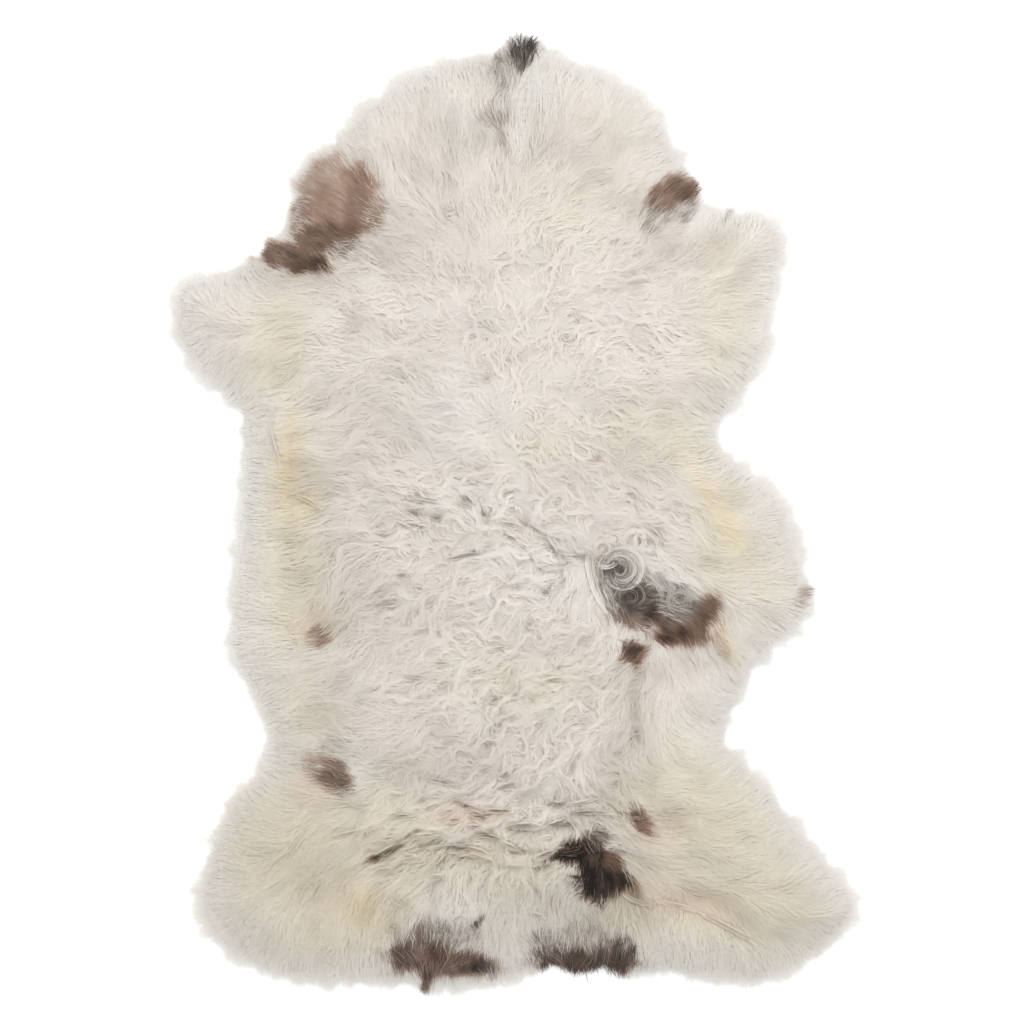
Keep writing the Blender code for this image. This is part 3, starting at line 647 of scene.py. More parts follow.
# Tints by kind: place, x, y, half length, half width, degrees, amount
tintMarks = {
    "honey": (
        ("left flank fold", -223, 50, 44, 8.5, 84, 0.88),
        ("left flank fold, low", -207, 6, 20, 10, 60, 0.5),
        ("left back", -203, -112, 22, 16, 0, 0.4),
        ("right flank fold", 197, 12, 46, 8.5, -60, 0.65),
        ("right flank fold, low", 217, -20, 22, 7.5, -78, 0.62),
        ("left hem fold", -150, -395, 40, 20, -12, 0.5),
        ("left hem streak", -144, -382, 28, 7, -50, 0.62),
        ("right thigh lines", 180, -392, 48, 16, -10, 0.45),
        ("below the dark patch", 210, -130, 26, 8, -65, 0.6),
    ),
    "straw": (
        ("left flank", -224, -20, 105, 30, 90, 1),
        ("left foreleg", -239, 163, 60, 30, 75, 0.8),
        ("left groin", -225, -200, 60, 45, 90, 0.6),
        ("left thigh", -215, -330, 85, 75, 0, 1),
        ("left thigh, middle", -125, -330, 70, 60, 0, 0.8),
        ("left hem", -190, -420, 70, 40, 0, 0.7),
        ("rump", 0, -350, 100, 50, 0, 0.55),
        ("rump, right", 100, -400, 60, 40, 0, 0.6),
        ("right thigh", 190, -310, 80, 65, -20, 1),
        ("right leg", 230, -385, 90, 55, -20, 0.9),
        ("right groin", 170, -250, 45, 40, 0, 0.6),
        ("right flank", 208, -10, 80, 32, 88, 0.85),
        ("right flank, outer", 255, -70, 60, 30, 80, 0.45),
        ("right foreleg", 215, 200, 100, 34, 85, 0.55),
        ("right ribs", 190, 70, 50, 40, 0, 0.7),
        ("right ribs, inner", 120, 80, 50, 45, 0, 0.4),
        ("middle back", 30, 70, 40, 30, 0, 0.4),
        ("low back", 10, -170, 100, 40, -6, 0.4),
        ("nape", 60, 300, 70, 40, 0, 0.35),
        ("neck, right", 110, 390, 40, 40, 0, 0.3),
    ),
    "blush": (
        ("right thigh crease", 165, -385, 50, 12, -15, 0.6),
        ("left flank fold", -223, 62, 18, 8, 90, 0.55),
        ("left flank fold, low", -238, 12, 10, 8, 60, 0.45),
        ("right flank fold", 195, 20, 30, 8, -60, 0.45),
        ("left cheek rim", -185, 360, 30, 10, 20, 0.35),
        ("rump crease", -50, -301, 34, 11, -5, 0.72),
        ("rump crease, low", -55, -338, 50, 10, 0, 0.4),
        ("left thigh", -205, -275, 24, 20, 0, 0.5),
        ("rump, left", -138, -327, 10, 9, 0, 0.45),
        ("above the left spot", -199, -103, 12, 12, 0, 0.55),
        ("right of the rump patch", 143, -320, 22, 20, 0, 0.6),
    ),
    "ice": (
        ("pale patch", -70, 100, 50, 34, -30, 0.6),
        ("middle back", -30, 10, 50, 20, -10, 0.3),
        ("left of the swirl", 30, -60, 50, 22, -15, 0.5),
        ("neck, right of the tuft", 20, 430, 34, 34, 0, 0.85),
        ("neck, left of the smudge", -50, 390, 30, 30, 0, 0.55),
        ("right side of the left low spot", -160, -253, 16, 20, 0, 0.6),
        ("below the rump patch", 58, -378, 20, 14, 0, 0.7),
        ("neck smudge side", 12, 385, 16, 30, 0, 0.6),
        ("neck, left", -80, 440, 50, 16, 20, 0.6),
        ("right cheek, below", 180, 300, 16, 10, 20, 0.7),
        ("below the rump", 30, -400, 60, 22, 0, 0.5),
        ("left hem", -60, -405, 40, 14, 0, 0.6),
        ("right of the swirl", 160, -70, 30, 16, -30, 0.6),
    ),
}
rimIce = {"amount": 0.85, "reach": 0.016}  # the thin wool at the edge is whiter


def markFields():
    # darkness, warmth and share of dark wisps at each place
    atX = gridX + ragged["amount"] * cloudy(ragged["size"], 23)
    atY = gridY + ragged["amount"] * cloudy(ragged["size"], 24)
    share, dark, warm = (np.zeros(gridX.shape) for _ in range(3))
    for place, x, y, halfLength, halfWidth, degrees, darkHere, warmHere, shareHere in rowsOf(darkMarks, 4):
        out = inMark(atX, atY, x, y, halfLength, halfWidth, degrees)
        cover = 1 - ease(out, ragged["full"], ragged["end"])
        under, over = share * (1 - cover), shareHere * cover
        share = under + over
        dark = (dark * under + darkHere * over) / (share + 1e-6)
        warm = (warm * under + warmHere * over) / (share + 1e-6)
    share = (share + 4 * ragged["mix"] * share * (1 - share) * cloudy(ragged["mixSize"], 26)).clip(0, 1)
    # a mark's own wisps are paler where they are few
    dark = dark * (0.68 + 0.32 * ease(share, 0.1, 0.8))
    dark = dark * (1 + ragged["streaks"] * strands + ragged["shade"] * cloudy(ragged["shadeSize"], 25))
    return {"dark": dark, "warm": warm, "share": share}


def tintFields():
    # how much of each tint there is at each place
    found = {kind: np.zeros(gridX.shape) for kind in tintMarks}
    for kind, marks in tintMarks.items():
        for place, x, y, halfLength, halfWidth, degrees, amount in rowsOf(marks, 4):
            out = inMark(gridX, gridY, x, y, halfLength, halfWidth, degrees)
            found[kind] = np.maximum(found[kind], amount * np.exp(-softEdge * out**2))
    rim = rimIce["amount"] * np.exp(-inward.clip(0, 1) / rimIce["reach"])
    found["ice"] = np.maximum(found["ice"], rim)
    return found


ink = markFields()
tint = tintFields()
print("placed the marks and tints")

woolColour = {
    "cream": (0.905, 0.876, 0.828),
    "rose": (0.908, 0.868, 0.830),
    "straw": (0.878, 0.838, 0.722),
    "honey": (0.915, 0.820, 0.585),
    "ice": (0.918, 0.912, 0.893),
    "blush": (0.870, 0.770, 0.690),
    "root": (0.95, 0.94, 0.92),    # painted shade at a wisp's root, partly greyer wool
    "crease": (0.68, 0.64, 0.57),  # painted shade, where the wool opens, in folds and below lips
    "palest": (0.560, 0.400, 0.310),  # a dark mark's lightest wisps
    "brown": (0.215, 0.130, 0.090),
    "blackBrown": (0.035, 0.022, 0.016),
    "paleGrey": (0.400, 0.360, 0.330),
    "grey": (0.150, 0.125, 0.110),
    "black": (0.028, 0.024, 0.022),
    "blotch": 14.0,                # scale of the colour's slow changes
    "spread": 0.045,               # how much one wisp is lighter or darker than the next
    "roughness": 0.85,
    "gloss": 0.25,
    "sheen": 0.25,
    "through": 0.38,               # light that comes through a wisp
}
darkSteps = (0.0, 0.35, 0.75, 1.0)  # darkness of a wisp at the stops of the dark colours


def addNode(tree, kind, x, y, **values):
    node = tree.nodes.new(kind)
    node.location = (x, y)
    for name, value in values.items():
        setattr(node, name, value)
    return node


def blend(tree, x, y, first, second, amount, mode="MIX"):
    # mixes two colours, each a socket or three numbers, by a socket or a number
    node = addNode(tree, "ShaderNodeMix", x, y, data_type="RGBA", blend_type=mode)
    for socket, value in ((node.inputs[6], first), (node.inputs[7], second), (node.inputs[0], amount)):
        if isinstance(value, bpy.types.NodeSocket):
            tree.links.new(value, socket)
        elif isinstance(value, tuple):
            socket.default_value = (*value, 1.0)
        else:
            socket.default_value = value
    return node.outputs[2]


def newMaterial(name):
    material = bpy.data.materials.new(name)
    material.use_nodes = True
    return material, material.node_tree


def noise(tree, coordinates, x, y, scale, detail):
    node = addNode(tree, "ShaderNodeTexNoise", x, y)
    node.inputs["Scale"].default_value = scale
    node.inputs["Detail"].default_value = detail
    tree.links.new(coordinates.outputs["Object"], node.inputs["Vector"])
    return node.outputs["Fac"]


def reader(tree, name, x, y):
    # a piece's attribute as three numbers
    attribute = addNode(tree, "ShaderNodeAttribute", x, y, attribute_name=name)
    split = addNode(tree, "ShaderNodeSeparateXYZ", x + 180, y)
    tree.links.new(attribute.outputs["Vector"], split.inputs[0])
    return split.outputs


def ramp(tree, x, y, factor, stops):
    # the colour that a factor gives, through stops of place and colour
    node = addNode(tree, "ShaderNodeValToRGB", x, y)
    steps = node.color_ramp.elements
    while len(steps) < len(stops):
        steps.new(0.5)
    for step, (at, colour) in zip(steps, stops):
        step.position = at
        step.color = (*colour, 1.0)
    tree.links.new(factor, node.inputs[0])
    return node.outputs[0]


def makeWoolMaterial(name, settings):
    material, tree = newMaterial(name)
    tree.nodes.clear()
    coordinates = addNode(tree, "ShaderNodeTexCoord", -1500, 500)
    blotches = noise(tree, coordinates, -1300, 500, settings["blotch"], 3.0)
    straw, honey, ice = reader(tree, "tint", -1500, 200)
    dark, warm, blush = reader(tree, "mark", -1500, 0)
    along, chance, paintedShade = reader(tree, "wisp", -1500, -200)

    colour = blend(tree, -1000, 500, settings["cream"], settings["rose"], blotches)
    for k, (kind, amount) in enumerate((("straw", straw), ("honey", honey), ("blush", blush), ("ice", ice))):
        colour = blend(tree, -820 + 180 * k, 500, colour, settings[kind], amount)
    spread = settings["spread"]
    tone = ramp(tree, -820, 200, chance, ((0.0, (1 - spread,) * 3), (1.0, (1 + spread / 2,) * 3)))
    colour = blend(tree, -100, 500, colour, tone, 1.0, "MULTIPLY")
    warmColours = [settings[key] for key in ("palest", "palest", "brown", "blackBrown")]
    coolColours = [settings[key] for key in ("paleGrey", "paleGrey", "grey", "black")]
    warmDark = ramp(tree, -820, 0, dark, tuple(zip(darkSteps, warmColours)))
    coolDark = ramp(tree, -820, -220, dark, tuple(zip(darkSteps, coolColours)))
    darkColour = blend(tree, -500, 0, coolDark, warmDark, warm)
    darkAmount = ramp(tree, -500, -220, dark, ((0.0, (0.0,) * 3), (0.38, (1.0,) * 3)))
    colour = blend(tree, 100, 400, colour, darkColour, darkAmount)
    # Painted shade near each wisp's root, partly the greyer wool there
    rootShade = ramp(tree, -100, 100, along, ((0.0, settings["root"]), (0.55, (1.0,) * 3)))
    colour = blend(tree, 300, 400, colour, rootShade, 1.0, "MULTIPLY")
    # Painted shade where the wool opens, in creases, folds, below lips and between strands and clumps
    openShade = ramp(tree, 100, -100, paintedShade, ((0.0, (1.0,) * 3), (1.0, settings["crease"])))
    colour = blend(tree, 450, 400, colour, openShade, 1.0, "MULTIPLY")

    wool = addNode(tree, "ShaderNodeBsdfPrincipled", 600, 400)
    wool.inputs["Roughness"].default_value = settings["roughness"]
    wool.inputs["Specular IOR Level"].default_value = settings["gloss"]
    wool.inputs["Sheen Weight"].default_value = settings["sheen"]
    wool.inputs["Sheen Roughness"].default_value = 0.5
    through = addNode(tree, "ShaderNodeBsdfTranslucent", 600, -200)
    mixed = addNode(tree, "ShaderNodeMixShader", 900, 300)
    mixed.inputs[0].default_value = settings["through"]
    output = addNode(tree, "ShaderNodeOutputMaterial", 1100, 300)
    tree.links.new(colour, wool.inputs["Base Color"])
    tree.links.new(colour, through.inputs["Color"])
    tree.links.new(wool.outputs[0], mixed.inputs[1])
    tree.links.new(through.outputs[0], mixed.inputs[2])
    tree.links.new(mixed.outputs[0], output.inputs["Surface"])
    return material


hide = {
    "pitch": 0.012,
    "inset": 0.011,        # the hide's edge lies this far inside the wool's
    "thickness": 0.0024,
    "cockle": 0.0005,      # how uneven the underside is
    "cockleSize": 0.018,
    "suede": (0.560, 0.455, 0.335),
    "suedeDark": (0.400, 0.300, 0.205),
    "suedePale": (0.700, 0.610, 0.480),
    "roughness": 0.92,
    "sheen": 0.3,
    "nap": 0.0006,         # height of the suede's nap, as bump
}


def makeSuede(settings):
    material, tree = newMaterial("suede underside")
    suede = tree.nodes["Principled BSDF"]
    coordinates = addNode(tree, "ShaderNodeTexCoord", -1400, 0)
    patches = noise(tree, coordinates, -1100, 300, 7.0, 4.0)
    hairs = noise(tree, coordinates, -1100, 0, 260.0, 3.0)
    colour = blend(tree, -700, 300, settings["suede"], settings["suedePale"], patches)
    nap = ramp(tree, -700, 0, hairs, ((0.35, (0.0,) * 3), (0.75, (0.6,) * 3)))
    colour = blend(tree, -400, 300, colour, settings["suedeDark"], nap)
    tree.links.new(colour, suede.inputs["Base Color"])
    bump = addNode(tree, "ShaderNodeBump", -400, -300)
    bump.inputs["Strength"].default_value = 0.35
    bump.inputs["Distance"].default_value = settings["nap"]
    tree.links.new(hairs, bump.inputs["Height"])
    tree.links.new(bump.outputs[0], suede.inputs["Normal"])
    suede.inputs["Roughness"].default_value = settings["roughness"]
    suede.inputs["Sheen Weight"].default_value = settings["sheen"]
    return material


def coordinatesOf(mesh):
    places = np.empty(len(mesh.vertices) * 3)
    mesh.vertices.foreach_get("co", places)
    return places.reshape(-1, 3)


def setCoordinates(mesh, places):
    mesh.vertices.foreach_set("co", places.ravel())
    mesh.update()


def cutFlatShape(name, pitch, inset, height):
    # a flat grid with the wool's outline, drawn in by inset
    bpy.ops.object.select_all(action="DESELECT")
    columns = int((netX[-1] - netX[0]) / pitch)
    rows = int((netY[-1] - netY[0]) / pitch)
    bpy.ops.mesh.primitive_grid_add(x_subdivisions=columns, y_subdivisions=rows, size=2, location=(0, 0, 0))
    piece = bpy.context.active_object
    piece.name = name
    mesh = piece.data
    mesh.name = name
    places = coordinatesOf(mesh)
    places[:, 0] = netX[0] + (places[:, 0] + 1) / 2 * (netX[-1] - netX[0])
    places[:, 1] = netY[0] + (places[:, 1] + 1) / 2 * (netY[-1] - netY[0])
    places[:, 2] = height
    setCoordinates(mesh, places)
    outside = look(inward, places[:, 0], places[:, 1]) < inset
    bpy.ops.object.mode_set(mode="EDIT")
    bpy.ops.mesh.select_mode(type="VERT")
    bpy.ops.mesh.select_all(action="DESELECT")
    bpy.ops.object.mode_set(mode="OBJECT")
    mesh.vertices.foreach_set("select", outside)
    bpy.ops.object.mode_set(mode="EDIT")
    bpy.ops.mesh.delete(type="VERT")
    bpy.ops.mesh.select_all(action="DESELECT")
    bpy.ops.mesh.select_non_manifold(extend=False)
    bpy.ops.object.mode_set(mode="OBJECT")
    # the stepped edge is moved out to the outline
    rim = np.empty(len(mesh.vertices), bool)
    mesh.vertices.foreach_get("select", rim)
    places = coordinatesOf(mesh)
    for _ in range(3):
        x, y = places[rim, 0], places[rim, 1]
        step = look(inward, x, y) - inset
        places[rim, 0] += step * look(outX, x, y)
        places[rim, 1] += step * look(outY, x, y)
    setCoordinates(mesh, places)
    return piece


def extrudeUp(piece, rise):
    # gives a flat shape its thickness
    bpy.ops.object.select_all(action="DESELECT")
    piece.select_set(True)
    bpy.context.view_layer.objects.active = piece
    bpy.ops.object.mode_set(mode="EDIT")
    bpy.ops.mesh.select_all(action="SELECT")
    bpy.ops.mesh.extrude_region_move(TRANSFORM_OT_translate={"value": (0, 0, rise)})
    bpy.ops.mesh.select_all(action="SELECT")
    bpy.ops.mesh.normals_make_consistent(inside=False)
    bpy.ops.mesh.select_all(action="DESELECT")
    bpy.ops.object.mode_set(mode="OBJECT")


def makeHide():
    # the tanned skin, its underside a little uneven
    piece = cutFlatShape("hide", hide["pitch"], hide["inset"], 0.0)
    extrudeUp(piece, hide["thickness"])
    places = coordinatesOf(piece.data)
    dents = look(cloudy(hide["cockleSize"], 31), places[:, 0], places[:, 1]).clip(0, 2)
    places[:, 2] += np.where(places[:, 2] < hide["thickness"] / 2, dents * hide["cockle"], 0)
    setCoordinates(piece.data, places)
    piece.data.materials.append(makeSuede(hide))
    bpy.ops.object.shade_smooth_by_angle(angle=math.radians(40))
    return piece


under = {
    "pitch": 0.0056,
    "inset": 0.0055,
    "gap": 0.0001,         # between it and the hide
    "least": 0.001,        # its thickness at least
    "depth": 0.0022,       # below the top of the smoothest wool
    "reliefDepth": 0.0026,  # and this much more for a relief of 1
    "edgeHeight": 0.0030,
    "shoulder": 0.020,     # how far in the underwool reaches its height
    "tuft": 0.0006,        # height of its tufts
    "tuftSize": 0.0055,
    "tuftsFrom": 0.012,    # how far in from the edge the tufts begin, and where they are full
    "tuftsFull": 0.040,
}


def underHeight(x, y):
    # the underwool's top
    base = hide["thickness"]
    depth = under["depth"] + under["reliefDepth"] * look(reliefAt, x, y)
    full = look(topHeight, x, y) - depth - base
    rise = np.sqrt(1 - (1 - ((look(inward, x, y) - under["inset"]) / under["shoulder"]).clip(0, 1)) ** 2)
    return base + under["edgeHeight"] + np.maximum(full - under["edgeHeight"], 0) * rise


def makeUnderwool(material):
    # dense short wool with small tufts, which shows between the wisps
    base = hide["thickness"] + under["gap"]
    piece = cutFlatShape("underwool", under["pitch"], under["inset"], base)
    extrudeUp(piece, under["least"])
    mesh = piece.data
    places = coordinatesOf(mesh)
    onTop = places[:, 2] > base + under["least"] / 2
    x, y = places[onTop, 0], places[onTop, 1]
    tufts = look(cloudy(under["tuftSize"], 32), x, y) * under["tuft"]
    tufts = tufts * ease(look(inward, x, y), under["tuftsFrom"], under["tuftsFull"])
    places[onTop, 2] = np.maximum(underHeight(x, y) + tufts, base + under["least"])
    setCoordinates(mesh, places)
    mesh.materials.append(material)
    bpy.ops.object.shade_smooth_by_angle(angle=math.radians(60))
    places = coordinatesOf(mesh)
    even = np.full(len(places), 0.5)
    # The underwool takes the painted shade of a wisp's first quarter, and that of the creases and folds
    addColours(mesh, places, places, even, 0.5 * even)
    return piece


def addVectors(mesh, name, first, second, third):
    data = np.stack([first, second, third], 1).astype(np.float32)
    mesh.attributes.new(name, "FLOAT_VECTOR", "POINT").data.foreach_set("vector", data.ravel())


def addColours(mesh, places, middles, chance, along, ownDark=-1, ownWarm=0):
    # middles are the places of the wisps' own middles, from which they partly take their colour, and
    # ownDark is a wisp's own darkness, or -1 where the marks give it
    x, y = places[:, 0], places[:, 1]
    middleX, middleY = middles[:, 0], middles[:, 1]
    addVectors(mesh, "tint", *(look(tint[kind], middleX, middleY) for kind in ("straw", "honey", "ice")))
    ownX, ownY = 0.75 * x + 0.25 * middleX, 0.75 * y + 0.25 * middleY
    share = look(ink["share"], ownX, ownY)
    # a wisp is dark where its chance lies below the share of dark wisps
    isDark = ((1.3 * share - 0.95 * chance) / 0.35).clip(0, 1)
    darkness = look(ink["dark"], ownX, ownY) * (isDark * (0.88 + 0.20 * chance) + (1 - isDark) * 0.35 * share)
    warmth = np.where(ownDark < 0, look(ink["warm"], ownX, ownY), ownWarm)
    darkness = np.where(ownDark < 0, darkness, ownDark).clip(0, 1)
    addVectors(mesh, "mark", darkness, warmth, look(tint["blush"], x, y))
    # How much painted shade the wool gets in creases, folds, below lips and between strands and clumps; the
    # painted light above the lips takes some away
    paintedShade = look(creaseAt, x, y) / 0.01 + look(streakShadeAt, x, y) + look(shadeAt, x, y)
    addVectors(mesh, "wisp", along, chance, paintedShade)


# The long wool has three kinds of wisp: curly ones along the back, soft straight ones on the neck, flanks
# and legs, and short fine ones that make the fluff of the rim
curly = {
    "spacing": 0.0041,      # between the roots of two tufts
    "tuft": 2,              # wisps from one root
    "tuftWidth": 0.0011,
    "points": 9,
    "length": 0.024,
    "width": 0.00080,
    "stray": 0.26,          # radians that a wisp strays from the combing
    "hook": 1.5,            # radians that its tip turns
    "hookSize": 0.0042,
    "ownBend": 0.45,
    "ownLength": 0.0085,
    "layer": 0.0010,        # depth of the wool that the wisps fill
    "reliefLayer": 0.0020,  # and this much more for a relief of 1
    "roll": 0.15,
}
soft = {
    "spacing": 0.00345,
    "tuft": 2,
    "tuftWidth": 0.0016,
    "points": 5,
    "length": 0.030,
    "width": 0.00066,
    "stray": 0.15,
    "hook": 0.25,
    "hookSize": 0.007,
    "ownBend": 0.14,
    "ownLength": 0.020,
    "layer": 0.0012,
    "reliefLayer": 0.0016,
    "roll": 0.08,
}
fluff = {
    "spacing": 0.0023,
    "tuft": 2,
    "tuftWidth": 0.0012,
    "points": 4,
    "length": 0.016,
    "width": 0.00046,
    "stray": 0.36,
    "hook": 0.60,
    "hookSize": 0.006,
    "ownBend": 0.24,
    "ownLength": 0.012,
    "layer": 0.0060,
    "reliefLayer": 0.0,
    "roll": 0.15,
}
rimWool = {
    "rootsFrom": 0.0055,    # roots lie at least this far inside the edge
    "fluffTo": 0.0150,      # and those of the fluff at most this far
    "past": 0.0083,         # how far past the edge the tips reach
    "pastTufts": 0.0036,    # how much that changes from one tuft of the rim to the next
    "pastSpread": 0.0024,   # and from one wisp to the next
    "tuftSize": 0.0048,
    "stretchFrom": 0.020,   # wisps with roots nearer the edge than this are made to reach past it
    "shortest": 0.006,
    "longest": 0.040,
    "lowest": 0.0012,       # how near the floor the tips may hang
    "deepCrease": 0.0030,   # a crease this deep parts the wool
    "endAtCrease": 0.70,    # share of the wisps that end there
    "rootDepth": 0.0012,    # how deep the roots lie in the underwool
    "riseBy": 0.55,         # share of its length over which a wisp rises to its level
    "wave": 0.0005,         # how far it then goes up and down
    "droop": 0.65,          # how much lower the pile is at its very edge, as a share
    "normalBlend": 0.88,    # how far a wisp's shading follows the pile's surface
}

# Tufts that stand out from the rim: place, x, y, reach, how far
rimStandsOut = (
    ("neck tuft", 10, 462, 14, 6),
    ("neck, left of the tuft", -45, 455, 22, 3),
    ("neck, left", -110, 435, 30, 4.5),
    ("neck, right", 105, 415, 32, 6),
    ("neck, top right", 70, 450, 28, 4),
    ("neck, far right", 145, 375, 28, 5.5),
    ("left cheek", -215, 345, 28, 4.5),
    ("left foreleg, top", -325, 228, 26, 7.5),
    ("left foreleg, below", -300, 140, 28, 1.5),
    ("right foreleg", 258, 287, 28, 7.5),
    ("right flank", 262, 20, 34, 6),
    ("right flank, outer", 285, -30, 30, 5),
    ("left flank", -275, -30, 38, 3.5),
    ("left hind leg", -315, -400, 28, 6.5),
    ("right hind leg", 340, -400, 26, 5),
    ("bay beside the right cheek", 185, 315, 12, -6),
    ("bay below the right foreleg", 262, 190, 22, -3),
    ("bay below the right flank", 245, -140, 20, -5.5),
    ("bay above the right thigh", 215, -230, 20, -5.5),
    ("hem, left of the middle", -55, -466, 18, -4),
    ("hem, right of the middle", 60, -462, 18, -4),
    ("right flank tuft", 290, -85, 14, 2),
    ("left hem, spike", -88, -460, 8, 6),
    ("hem, middle tuft", -26, -462, 8, 6),
)


def rootsOf(kind, draw):
    # staggered rows of roots over the whole hide
    rise = kind["spacing"] * math.sqrt(3) / 2
    x, y = np.meshgrid(np.arange(netX[0], netX[-1], kind["spacing"]), np.arange(netY[0], netY[-1], rise))
    x[1::2] += kind["spacing"] / 2
    x, y = x.ravel(), y.ravel()
    x = x + draw.uniform(-0.5, 0.5, len(x)) * kind["spacing"]
    y = y + draw.uniform(-0.5, 0.5, len(y)) * kind["spacing"]
    into = look(inward, x, y)
    keep = (into > rimWool["rootsFrom"]) & ((kind is not fluff) | (into < rimWool["fluffTo"]))
    x, y = x[keep], y[keep]
    isCurly = look(curlyAt, x, y)
    share = isCurly if kind is curly else 1 - 0.72 * isCurly
    keep = draw.random(len(x)) < share * (1 - 0.8 * ease(look(creaseAt, x, y), 0.003, 0.008))
    return x[keep], y[keep]


def trace(kind, x, y, length, stray, beat, hook):
    # follows the combing from each root, and finds the share of the way before the first deep crease
    finer, points = 3, kind["points"]
    steps = (points - 1) * finer
    px, py = np.zeros((len(x), points)), np.zeros((len(x), points))
    clear = np.ones(len(x))
    for k in range(steps + 1):
        s = k / steps
        if k % finer == 0:
            px[:, k // finer], py[:, k // finer] = x, y
        if s > 0.25:
            clear = np.where(look(creaseAt, x, y) > rimWool["deepCrease"], np.minimum(clear, s), clear)
        own = kind["ownBend"] * np.sin(beat + 2 * math.pi * s * length / kind["ownLength"])
        curl = hook * max(0.0, (s - 0.45) / 0.55) ** 1.5
        way = np.arctan2(look(combY, x, y), look(combX, x, y)) + stray + own + curl
        x = x + length / steps * np.cos(way)
        y = y + length / steps * np.sin(way)
    return px, py, clear


def growWisps(kind, seed):
    # the middle line of each wisp, from its root over the pile in the way that the wool is combed
    draw = np.random.default_rng(seed)
    x, y = rootsOf(kind, draw)
    tufts = len(x)
    stray = np.repeat(draw.normal(0, kind["stray"], tufts), kind["tuft"])
    level = np.repeat(draw.random(tufts) ** 0.7, kind["tuft"])
    beat = np.repeat(draw.uniform(0, 2 * math.pi, tufts), kind["tuft"])
    x, y = np.repeat(x, kind["tuft"]), np.repeat(y, kind["tuft"])
    count = len(x)
    x = x + draw.normal(0, kind["tuftWidth"], count)
    y = y + draw.normal(0, kind["tuftWidth"], count)
    stray += draw.normal(0, kind["stray"] * 0.6, count)
    level = (level + draw.normal(0, 0.15, count)).clip(0, 1)
    length = kind["length"] * draw.uniform(0.70, 1.20, count)
    hook = look(cloudy(kind["hookSize"], seed + 40), x, y) * kind["hook"]
    hook = hook * ease(look(bendAt, x, y), 0.1, 0.7)
    root = look(inward, x, y)
    pastSpread = draw.normal(0, rimWool["pastSpread"], count)
    for _ in range(3):
        # the wool at the rim ends a little past the edge
        px, py, clear = trace(kind, x, y, length, stray, beat, hook)
        over = -look(inward, px[:, -1], py[:, -1]) - look(pastAt, px[:, -1], py[:, -1]) - pastSpread
        change = np.where(over > 0, over, np.where(root < rimWool["stretchFrom"], over, 0))
        length = (length - change.clip(-0.008, 0.020)).clip(rimWool["shortest"], rimWool["longest"])
    ends = draw.random(count) < rimWool["endAtCrease"]
    length = np.where(ends, length * clear, length).clip(rimWool["shortest"], rimWool["longest"])
    px, py, _ = trace(kind, x, y, length, stray, beat, hook)
    s = np.linspace(0, 1, kind["points"])[None, :]
    floor = underHeight(px, py) - rimWool["rootDepth"]
    rise = 1 - (1 - (s / rimWool["riseBy"]).clip(0, 1)) ** 2
    layer = kind["layer"] + kind["reliefLayer"] * look(reliefAt, px, py)
    pile = np.maximum(look(topHeight, px, py) - layer * (1 - level[:, None]), floor + 0.001)
    droop = 1 - rimWool["droop"] * ease(-look(inward, px, py), -0.006, 0.010)
    beatHere = beat[:, None] + 2 * math.pi * s * length[:, None] / kind["ownLength"]
    lift = rimWool["wave"] * np.sin(beatHere + 1.5)
    pz = np.maximum((floor + (pile - floor) * rise) * droop + lift, rimWool["lowest"])
    edge = ease(root, 0.006, 0.030)
    return {
        "line": np.stack([px, py, pz], 2),
        "width": kind["width"] * draw.uniform(0.7, 1.25, count) * (0.8 + 0.2 * edge) * (1.4 - 0.65 * level),
        "roll": draw.normal(0, kind["roll"], count),
        "chance": draw.random(count),
        "stray": draw.normal(0, 0.0030, (count, 2)),
        "ownDark": np.full(px.shape, -1.0),
        "ownWarm": np.zeros(count),
    }


